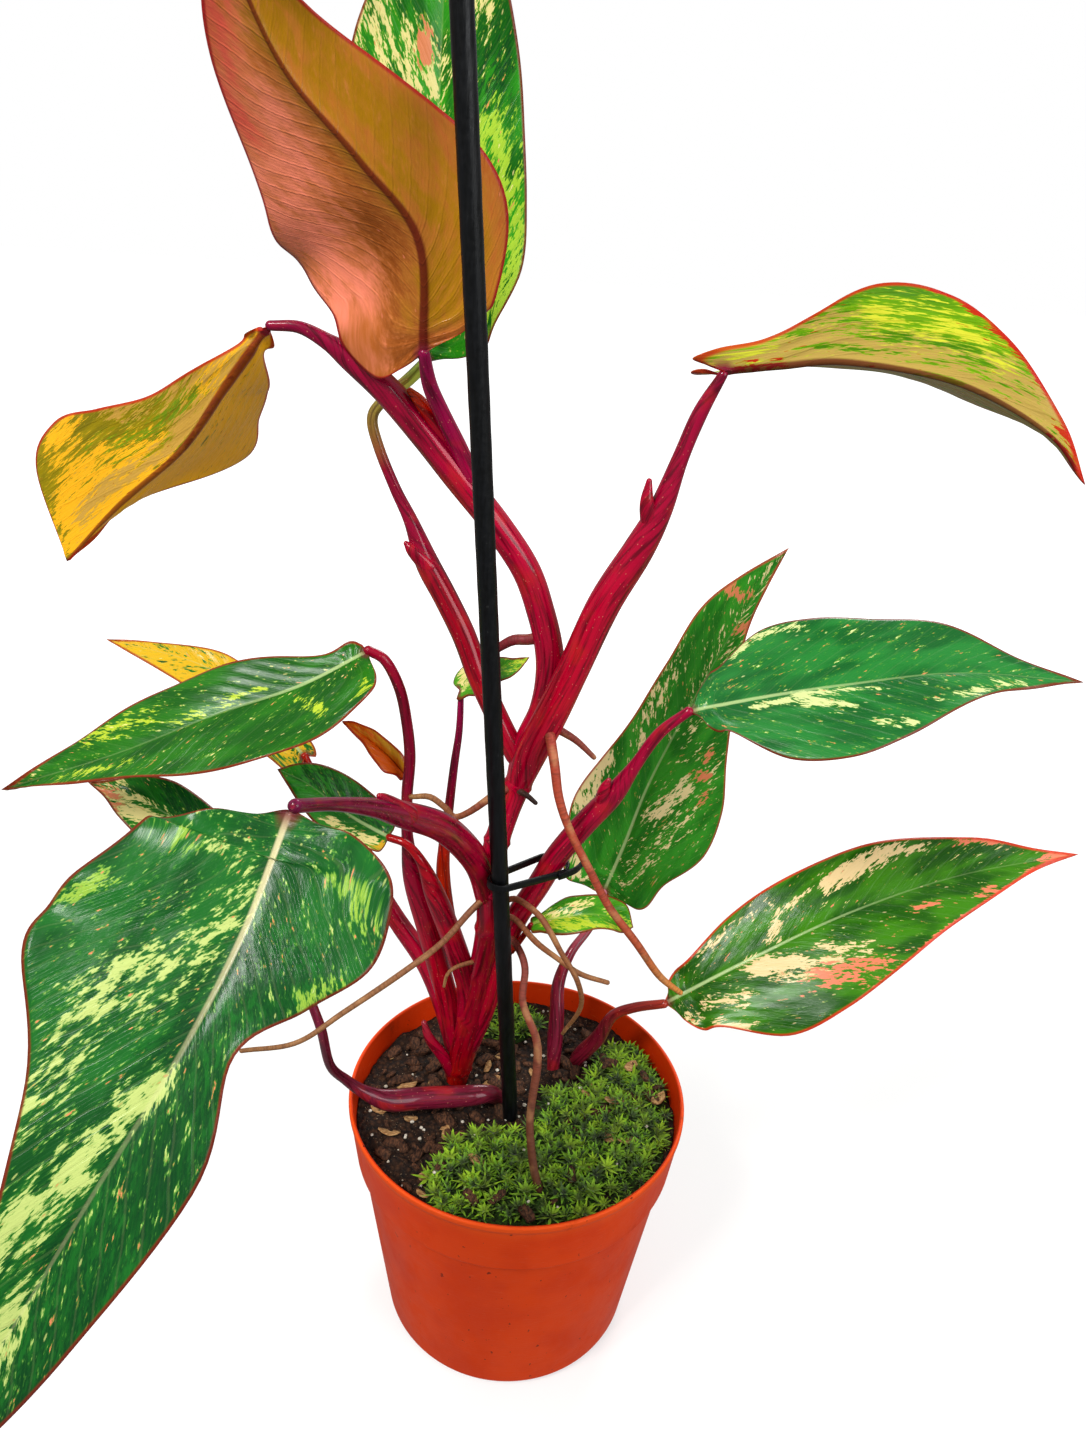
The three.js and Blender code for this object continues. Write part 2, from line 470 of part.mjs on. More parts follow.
// Tapered round stem along a route; `extra` makes it larger all round, to cut a clearance hole.
function stem(route, extra = 0) {
  const centre = through(route);
  const radii = through(route.map(([, , , radius]) => [radius, 0]));
  const sides = Math.max(...route.map(([, , , radius]) => radius)) < THIN_ROOT ? 6 : 8;
  const rings = Math.max(3, Math.round(centre.getLength() / RING_STEP));
  const side = new THREE.Vector3(0.3, 1, 0.2).cross(centre.getTangent(0)).normalize();
  const points = [];
  for (let ring = 0; ring <= rings; ring += 1) {
    const share = ring / rings;
    const tangent = centre.getTangent(share);
    side.addScaledVector(tangent, -side.dot(tangent)).normalize();
    const other = new THREE.Vector3().crossVectors(tangent, side);
    const radius = Math.max(radii.getPoint(share).x, THINNEST) + extra;
    const overrun = extra * ((ring === rings) - (ring === 0));
    const middle = centre.getPoint(share).addScaledVector(tangent, overrun);
    for (let i = 0; i < sides; i += 1) {
      const turn = (i / sides) * 2 * Math.PI;
      points.push(middle.clone().addScaledVector(side, radius * Math.cos(turn))
        .addScaledVector(other, radius * Math.sin(turn)).toArray());
    }
  }
  const last = rings * sides;
  const triangles = [];
  for (let start = 0; start < last; start += sides) {
    for (let i = 0; i < sides; i += 1) {
      const [a, b] = [start + i, start + ((i + 1) % sides)];
      triangles.push([a, b, b + sides], [a, b + sides, a + sides]);
    }
  }
  for (let i = 1; i < sides - 1; i += 1) {
    triangles.push([0, i + 1, i], [last, last + i, last + i + 1]);
  }
  return toManifold(geometryOf(points, triangles));
}

// Stems that grew as one piece, ending just short of the blades that they carry.
function shoot(routes) {
  const gaps = Object.values(LEAVES).map((leaf) => blade(leaf, BLADE_GAP));
  const whole = joined(Object.values(routes).map((route) => stem(route)));
  return mainBody(gaps.reduce((rest, gap) => rest.subtract(gap), whole));
}

// Point of a blade's middle surface: a share of the length along, and a distance across. Each half
// bends in an arc across the midrib, whose heading is averaged over a part of its length.
function bladePoint(leaf, midrib, half, share, across) {
  const inside = THREE.MathUtils.clamp(share, 0, 1);
  const point = midrib.getPointAt(inside);
  const span = leaf.heading || HEADING_SPAN;
  const forward = midrib.getPointAt(Math.min(inside + span, 1))
    .sub(midrib.getPointAt(Math.max(inside - span, 0))).normalize();
  point.addScaledVector(forward, Math.min(share, 0) * midrib.getLength());
  const up = through(leaf.faces).getPoint(inside);
  up.addScaledVector(forward, -up.dot(forward)).normalize();
  const side = new THREE.Vector3().crossVectors(forward, up).multiplyScalar(half === 0 ? 1 : -1);
  const fold = THREE.MathUtils.degToRad(along(leaf.fold[half], share));
  const bend = THREE.MathUtils.degToRad(leaf.curl[half] || 0.001) / CURL_WIDTH;
  const out = (Math.sin(fold + bend * across) - Math.sin(fold)) / bend;
  const rise = (Math.cos(fold) - Math.cos(fold + bend * across)) / bend;
  return point.addScaledVector(side, out).addScaledVector(up, rise);
}

// Outline of one half, from the petiole round the base lobe to the tip: share along, distance across.
function halfOutline(leaf, half) {
  const widths = half === 0 ? leaf.right : leaf.left;
  const lobe = leaf.lobes[half];
  const shoulder = 0.02 - lobe * (lobe > 0 ? 0.45 : 1.2);
  const stations = leaf.stations || STATIONS;
  const base = [LOBE_INNER, LOBE_END].map(({ reach, width }) => [-reach * lobe, width * widths[0]]);
  return through([[0, 0], ...base, [shoulder, SHOULDER_WIDTH * widths[0]],
    ...stations.map((share, i) => [share, widths[i]]), [1, 0]]);
}

// Where the side veins that reach the points of a half outline leave the midrib.
function veinRoots(leaf) {
  const stations = leaf.stations || STATIONS;
  const roots = [...FIRST_VEINS, ...stations.map((share) => share * (1 - VEIN_LEAD)), 1];
  return through(roots.map((share) => [share, 0]));
}

// Leaf blade: a thin solid with the same triangles on both faces, pointed at the base and the tip.
// `extra` makes it larger all round, to cut a clearance.
function blade(leaf, extra = 0) {
  const midrib = through(leaf.midrib);
  const outlines = [halfOutline(leaf, 0), halfOutline(leaf, 1)];
  const roots = veinRoots(leaf);
  const [rows, columns] = midrib.getLength() > SMALL_LEAF ? [13, 3] : [9, 2];
  const rowWidth = 2 * columns + 1;
  const index = (row, column) => {
    if (row === 0) return 0;
    if (row === rows) return (rows - 1) * rowWidth + 1;
    return 1 + (row - 1) * rowWidth + columns + column;
  };
  const middle = [];
  for (let row = 0; row <= rows; row += 1) {
    const root = roots.getPoint(row / rows).x;
    const reach = row === 0 || row === rows ? 0 : columns;
    for (let column = -reach; column <= reach; column += 1) {
      const half = column < 0 ? 1 : 0;
      const edge = outlines[half].getPoint(row / rows);
      const part = Math.abs(column) / columns;
      const share = root + (edge.x - root) * part ** VEIN_SWEEP;
      middle.push(bladePoint(leaf, midrib, half, share, Math.max(edge.y, 0) * part));
    }
  }
  const faces = [];
  for (let row = 0; row < rows; row += 1) {
    for (let column = -columns; column < columns; column += 1) {
      const [a, b] = [index(row, column), index(row, column + 1)];
      const [c, d] = [index(row + 1, column + 1), index(row + 1, column)];
      if (a === b) faces.push([a, c, d]);
      else if (c === d) faces.push([a, b, c]);
      else if (middle[a].distanceTo(middle[c]) < middle[b].distanceTo(middle[d])) {
        faces.push([a, b, c], [a, c, d]);
      } else faces.push([a, b, d], [b, c, d]);
    }
  }

  const rim = [[0, index(1, 0)]];
  for (let row = 1; row < rows; row += 1) rim.push([index(row, -columns), index(row, 1 - columns)]);
  rim.push([index(rows, 0), index(rows - 1, 0)]);
  for (let row = rows - 1; row > 0; row -= 1) rim.push([index(row, columns), index(row, columns - 1)]);
  const outward = rim.map(([edge, inner]) => middle[edge].clone().sub(middle[inner]).normalize());
  rim.forEach(([edge], i) => middle[edge].addScaledVector(outward[i], extra));

  const sheet = geometryOf(middle.map((point) => point.toArray()), faces);
  sheet.computeVertexNormals();
  const points = [1, -1].flatMap((face) => middle.map((point, i) => {
    const normal = new THREE.Vector3().fromBufferAttribute(sheet.getAttribute('normal'), i);
    return point.clone().addScaledVector(normal, face * (BLADE / 2 + extra)).toArray();
  }));
  const back = middle.length;
  const triangles = [...faces, ...faces.map(([a, b, c]) => [a + back, c + back, b + back])];
  rim.forEach(([from], i) => {
    const [to] = rim[(i + 1) % rim.length];
    triangles.push([from, to, to + back], [from, to + back, from + back]);
  });
  return toManifold(geometryOf(points, triangles));
}

const plant = new THREE.Group();

function place(name, solid, material) {
  const geometry = toGeometry(solid).toNonIndexed();
  geometry.computeVertexNormals();
  const mesh = new THREE.Mesh(geometry, new THREE.MeshStandardMaterial(MATERIALS[material]));
  mesh.name = name;
  plant.add(mesh);
}

// What stands in the mix cuts its own hole there, with clearance all round.
const ROOTED = [CLUMP.main_stem, CLUMP.root_down, CLUMP.base_bract, ...Object.values(SHOOT_RIGHT_BACK),
  ...Object.values(SHOOT_RIGHT_LOW), ...Object.values(SHOOT_LEFT_LOW)];
const holes = joined([stake(CLEARANCE + 0.1), ...ROOTED.map((route) => stem(route, CLEARANCE + 0.1))]);
const mix = soil();

place('pot', pot(), 'terracotta');
place('soil', mainBody(mix.subtract(holes)), 'mix');
place('moss_right', mainBody(moss(MOSS_RIGHT, mix).subtract(holes)), 'moss');
place('moss_back', mainBody(moss(MOSS_BACK, mix).subtract(holes)), 'moss');
place('stake', stake(), 'black');
place('tie', tie(), 'black');
place('stem_clump', shoot(CLUMP), 'crimson');
place('shoot_right_back', shoot(SHOOT_RIGHT_BACK), 'maroon');
place('shoot_right_low', shoot(SHOOT_RIGHT_LOW), 'maroon');
place('shoot_left_low', shoot(SHOOT_LEFT_LOW), 'maroon');
for (const [name, leaf] of Object.entries(LEAVES)) place(name, blade(leaf), leaf.colour);

export default plant;
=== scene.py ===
"""Looks of a potted strawberry shake philodendron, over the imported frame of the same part.

The tables are in millimetres, +Z up, +X to the right and -Y to the front, as in the CAD source.
"""
import math

import bmesh
import bpy
import numpy as np
from mathutils import Matrix, Vector


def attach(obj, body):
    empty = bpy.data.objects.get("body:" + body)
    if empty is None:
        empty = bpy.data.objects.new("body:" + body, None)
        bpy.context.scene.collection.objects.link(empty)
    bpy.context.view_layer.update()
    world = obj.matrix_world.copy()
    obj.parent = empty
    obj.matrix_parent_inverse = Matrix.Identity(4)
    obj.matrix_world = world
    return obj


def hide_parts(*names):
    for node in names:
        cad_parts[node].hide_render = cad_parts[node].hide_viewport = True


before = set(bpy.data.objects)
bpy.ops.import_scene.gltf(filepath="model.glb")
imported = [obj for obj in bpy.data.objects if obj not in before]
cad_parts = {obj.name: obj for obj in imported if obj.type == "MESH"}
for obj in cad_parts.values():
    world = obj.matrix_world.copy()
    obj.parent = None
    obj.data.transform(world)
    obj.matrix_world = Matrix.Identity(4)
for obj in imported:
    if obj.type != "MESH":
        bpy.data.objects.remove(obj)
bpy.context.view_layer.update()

# Sizes shared with the CAD source.
POT_HEIGHT, RIM_RADIUS, BAND_FOOT, BAND_RADIUS, BODY_RADIUS, BASE_RADIUS = 98, 60, 76, 57.4, 55.6, 46
FOOT_OUTER, FOOT_INNER, CENTRE_DISC, BASE_RECESS, POT_WALL, FLOOR_TOP = 43, 37, 14, 2.4, 1.4, 4
DRAINS, DRAIN_RADIUS, DRAIN_CIRCLE = 8, 3.5, 26
SOIL_TOP, MOSS_DEPTH = 89, 5
STAKE_RADIUS, STAKE_POINT = 2.7, 12
STAKE_FOOT, STAKE_TOP = (3.4, 1.4, 14), (-32, -41, 515)
TIE_THICKNESS, TIE_HEIGHT, TIE_TAIL = 0.8, 2.4, 9
TIE_STAKE_CENTRE, TIE_STAKE_RADIUS = (-9.35, -13.9, 195), 3.4
TIE_PETIOLE_CENTRE, TIE_PETIOLE_RADIUS = (6.2, -1, 194), 5.2
VEIN_SWEEP, VEIN_LEAD, HEADING_SPAN, CURL_WIDTH = 1.25, 0.03, 0.14, 25
FIRST_VEINS = [0, 0.01, 0.03, 0.06]

# Bevel of the tie's edges.
TIE_BEVEL = 0.08, 0.15

# Finer sizes of the blades: thickness, grid of a large and a small one, relief and margin.
BLADE = 0.6
LARGE_LEAF, LARGE_GRID, SMALL_GRID = 70, (104, 26), (64, 16)
EDGE_CROWDING = 1.25
SIDE_VEIN_STEP, PILLOW_RISE = 3.4, 0.14
MARGIN_WAVE, WAVE_RISE, FULL_WAVE_WIDTH = 26, 0.9, 25
LUMP_GRID, LUMP_STEP, LUMP_RISE = 97, 15, 0.8
GROOVE_DEPTH, GROOVE_WIDTH, RIDGE_RISE = 0.3, 1.3, 1.0
VEIN_SLANT = 1.3
VEIN_SLANTS = {"leaf_upper_left": 3.6, "leaf_upper_right": 3.6, "leaf_top_left": 0.9}

# Marks on the blades: how far the strokes reach, how soft their edges are, the width of the
# coloured margin against the usual one, and the share along at which the midrib has faded.
TONE_REACH, TONE_FLOOR = 0.44, 0.33
CRISP_SPREAD, SOFT_SPREAD, SOFT_FROM = 2.3, 0.8, 0.15
STROKE_STEPS = 40
SOFTNESS = 0.035
SOFTER = {"leaf_top_left": 0.3, "leaf_front_left": 0.08, "leaf_small_orange": 0.2}
MARGINS = {"leaf_right_low": 1.4, "leaf_top_left": 1.3, "leaf_upper_left": 1.5, "leaf_upper_right": 1.5}
RIB_FADE = 0.75
RIB_FADES = {"leaf_front_left": 0.38, "leaf_left": 0.5}

# Pot and stake: sides, rounding of the pot's corners, heights that the drill for a drain hole goes
# between, and the stake's moulding waves.
POT_SIDES, POT_ROUNDING = 144, 0.7
DRILL_FROM, DRILL_TO, DRILL_SIDES = -4, 8, 24
STAKE_SIDES, STAKE_STEP, STAKE_WAVE = 32, 6, 0.06
SOIL_SIDES, SOIL_RINGS, SOIL_CLEARANCE = 200, 74, 0.3

# Stems: length of a step, sides of a thick and a thin one, and the radius from which one is thick
# or has a seam. The seam is a ridge with a groove beside it: turn, height and width of each.
STEM_STEP, THICK_SIDES, THIN_SIDES, THICK_STEM, SEAM_STEM = 1.6, 28, 16, 2.5, 3
THINNEST_STEM, CAP_RINGS, SCAR_WIDTH = 0.5, 3, 0.9
SEAM_TURN, SEAM_FOLDS = 1.2, [(0, 0.5, 0.16), (0.35, -0.35, 0.2)]

# Moss: points round a cushion, rows up its floor, width of its slope, distance between shoots, and
# the leaflets of each tier of a shoot: how many, how steep in radians and how long.
MOSS_SIDES, MOSS_ROWS, MOSS_SLOPE, MOSS_STEP = 160, 26, 18, 3.5
MOSS_TIERS = [(7, 0.25, 4.8), (6, 0.8, 4.0)]

# A leaflet of moss: how near the tip each of its points counts, and its faces.
LEAFLET_TIPNESS = [0, 0.5, 0.35, 0.5, 1]
LEAFLET_FACES = [(0, 1, 2), (0, 2, 3), (1, 4, 2), (2, 4, 3)]

# Bits on the mix: how many, least and most length, breadth and height as shares of the length.
BITS = [(150, (2.5, 8), (0.5, 0.28)), (110, (0.6, 1.6), (0.85, 0.7)), (34, (3, 8), (0.5, 0.1))]
BARK, SCRAP = 0, 2
BITS_REACH, KEPT_OFF_MOSS = 53, 0.8
ANY_TURN = 6.3

# Light: the heights between which the surround brightens and how strong it is at each, then each
# light's name, place, target, size, watts and colour. The floor glows more further out.
SKY_HEIGHTS = -0.1, 0.9
WORLD_LIGHT = 0.26, 0.62
LIGHTS = [
    ("key", (-0.75, -0.9, 1.5), (0, 0, 0.25), 0.5, 26, (1.0, 0.99, 0.97)),
    ("fill", (1.1, -0.9, 0.8), (0, 0, 0.25), 0.9, 13, (0.95, 0.98, 1.0)),
    ("back", (0.4, 1.2, 1.1), (0, 0, 0.3), 0.6, 9, (1, 1, 1)),
]
FLOOR_HALF = 6
FLOOR_GLOW_FROM, FLOOR_GLOW_TO = 250, 1000
FLOOR_GLOW = 0.55, 1.0

# Camera, at the angle of the photograph.
CAMERA_PLACE = (0.7, -297, 386)
CAMERA_PITCH = 25.6
CAMERA_ROLL = -3.7
CAMERA_LENS, SENSOR_WIDTH = 27.05, 36

# Leaf blades: points of the midrib from the petiole to the tip, the way that the upper side faces,
# half widths at the stations (shares along the midrib), base lobes, and how far each half folds and
# curls, in degrees. Heading is the share along over which the midrib's direction is taken.
STATIONS = [0.1, 0.22, 0.36, 0.5, 0.64, 0.78, 0.9]
LEAVES = {
    "leaf_front_left": {
        "colour": "green",
        "midrib": [[-48, -112, 275], [-53, -130, 259], [-61, -146, 243], [-73, -162, 224], [-88, -174, 198],
            [-102, -180, 176], [-119, -184, 148]],
        "faces": [[0.1, -0.75, 0.65], [0.05, -0.9, 0.45], [-0.1, -0.95, 0.3]],
        "stations": [0.07, 0.14, 0.2, 0.27, 0.4, 0.6, 0.8],
        "right": [26, 32, 35, 34, 20, 9, 5], "left": [25, 25, 17, 9, 15, 11, 6],
        "lobes": [-0.03, -0.01], "fold": [[8, 4], [8, 4]], "curl": [-10, -10],
    },
    "leaf_top_left": {
        "colour": "coral",
        "midrib": [[-35, -12, 350], [-36, -16, 376], [-49, -20, 392], [-64, -24, 408], [-72, -30, 425],
            [-74, -40, 439]],
        "faces": [[0.1, 0.95, 0.3], [0.1, 0.95, 0.3]],
        "right": [27, 38, 39, 30, 21, 13, 6], "left": [18, 22, 23, 19, 15, 9, 4],
        "lobes": [0.07, -0.04], "fold": [[10], [10]], "curl": [10, 10], "heading": 0.28,
    },
    "leaf_top_back": {
        "colour": "lime",
        "midrib": [[-39, 24, 343], [-38, 26, 370], [-37, 28, 406], [-36, 28, 434], [-35, 24, 465]],
        "faces": [[0.1, -0.95, 0.2], [0.1, -0.95, 0.2]],
        "right": [19, 25, 25, 23, 20, 15, 8], "left": [14, 20, 23, 24, 22, 15, 7],
        "lobes": [-0.02, -0.02], "fold": [[10], [10]], "curl": [0, 0],
    },
    "leaf_upper_left": {
        "colour": "orange",
        "midrib": [[-77, 0, 353], [-92, 8, 335], [-109, 18, 315], [-133, 28, 295], [-154, 34, 274]],
        "faces": [[-0.2, 0.9, 0.4], [-0.2, 0.9, 0.4]],
        "right": [6, 17, 24, 31, 12, 4, 2], "left": [4, 9, 15, 20, 26, 33, 27],
        "lobes": [-0.03, -0.03], "fold": [[25, 45, 40, 38, 35], [25, 45, 45, 45, 45]], "curl": [0, 0],
    },
    "leaf_upper_right": {
        "colour": "lime",
        "midrib": [[42, 0, 349], [56, 0, 351], [74, 0, 353], [102, -4, 350], [125, -10, 340],
            [135, -16, 329]],
        "faces": [[0, 0.82, 0.57], [0.3, 0.82, 0.57]],
        "right": [7, 12, 20, 21, 15, 8, 3], "left": [10, 16, 20, 22, 18, 10, 5],
        "lobes": [0.08, 0.08], "fold": [[30, 55, 50], [50, 44, 45]], "curl": [0, 0],
    },
    "leaf_left": {
        "colour": "green",
        "midrib": [[-52, 0, 264], [-71, -6, 254], [-94, -12, 246], [-123, -16, 233], [-160, -16, 218]],
        "faces": [[0.1, -0.5, 0.85], [0, -0.5, 0.85]],
        "right": [6, 12, 15, 15, 13, 9, 4], "left": [17, 21, 21, 17, 11, 6, 3],
        "lobes": [-0.01, -0.01], "fold": [[10], [10]], "curl": [-10, -10],
    },
    "leaf_left_back": {
        "colour": "orange",
        "midrib": [[-82, 40, 206], [-100, 46, 222], [-120, 52, 233], [-155, 58, 238]],
        "faces": [[0.2, -0.4, 0.9], [0, -0.5, 0.85]],
        "right": [6, 8, 8, 8, 6, 4, 2], "left": [12, 15, 15, 13, 10, 6, 3],
        "lobes": [0.03, 0.03], "fold": [[10], [10]], "curl": [-10, -10],
    },
    "leaf_left_low": {
        "colour": "green",
        "midrib": [[-85, -10, 187], [-106, -4, 199], [-125, 0, 208], [-142, 2, 212]],
        "faces": [[0.2, -0.6, 0.8], [0, -0.6, 0.8]],
        "right": [6, 8, 9, 10, 10, 7, 3], "left": [10, 13, 14, 13, 11, 8, 3],
        "lobes": [0.03, 0.03], "fold": [[10], [10]], "curl": [-10, -10],
    },
    "leaf_centre_left": {
        "colour": "green",
        "midrib": [[-46, 0, 200], [-59, 2, 206], [-72, 4, 215], [-82, 4, 220]],
        "faces": [[0.1, -0.7, 0.75], [0, -0.6, 0.8]],
        "right": [6, 9, 10, 10, 9, 7, 4], "left": [7, 9, 9, 9, 8, 6, 3],
        "lobes": [0, 0], "fold": [[10], [10]], "curl": [-10, -10],
    },
    "leaf_small_orange": {
        "colour": "orange",
        "midrib": [[-42, 8, 218], [-49, 10, 225], [-63, 13, 234]],
        "faces": [[0.1, -0.7, 0.75], [0, -0.6, 0.8]],
        "right": [3, 4, 4, 4, 4, 3, 2], "left": [3, 6, 6, 5, 3, 2, 1],
        "lobes": [0, 0], "fold": [[30], [30]], "curl": [0, 0],
    },
    "leaf_right": {
        "colour": "green",
        "midrib": [[44, 0, 251], [65, 0, 257], [90, 0, 263], [122, 2, 268], [160, 4, 267]],
        "faces": [[-0.1, -0.5, 0.87], [0, -0.5, 0.87]],
        "right": [12, 23, 26, 21, 14, 7, 3], "left": [13, 25, 25, 23, 19, 10, 4],
        "lobes": [-0.04, -0.04], "fold": [[10], [10]], "curl": [-15, -15],
    },
    "leaf_right_back": {
        "colour": "green",
        "midrib": [[28, 52, 149], [34, 52, 171], [41, 52, 199], [54, 50, 237], [66, 50, 267],
            [77, 50, 289]],
        "faces": [[-0.1, -0.9, 0.4], [0.1, -0.9, 0.4]],
        "right": [20, 29, 28, 20, 12, 5, 2], "left": [20, 24, 20, 16, 15, 14, 8],
        "lobes": [0, 0], "fold": [[10], [10]], "curl": [-5, -5],
    },
    "leaf_right_low": {
        "colour": "green",
        "midrib": [[50, 10, 132], [79, 14, 151], [112, 20, 169], [150, 28, 182], [193, 36, 189]],
        "faces": [[-0.1, -0.6, 0.8], [-0.2, -0.6, 0.77]],
        "right": [17, 29, 29, 24, 17, 10, 3], "left": [10, 17, 20, 21, 18, 12, 5],
        "lobes": [-0.03, -0.03], "fold": [[10], [10]], "curl": [-15, -15],
    },
    "leaf_small_right": {
        "colour": "lime",
        "midrib": [[1, -6, 174], [10, -7, 178], [23, -8, 181], [34, -8, 177]],
        "faces": [[0, -0.4, 0.9], [0.1, -0.4, 0.9]],
        "right": [4, 6, 7, 7, 6, 5, 4], "left": [3, 5, 7, 7, 7, 7, 6],
        "lobes": [0, 0], "fold": [[10], [10]], "curl": [-20, -20],
    },
    "leaf_small_middle": {
        "colour": "lime",
        "midrib": [[-27, 31, 239], [-19, 29, 246], [-11, 27, 251], [-5, 25, 255]],
        "faces": [[0, -0.5, 0.87], [0, -0.5, 0.87]],
        "right": [4, 6, 6, 6, 6, 6, 4], "left": [8, 8, 6, 5, 4, 2, 1],
        "lobes": [0.08, 0.08], "fold": [[10], [10]], "curl": [-20, -20],
    },
}

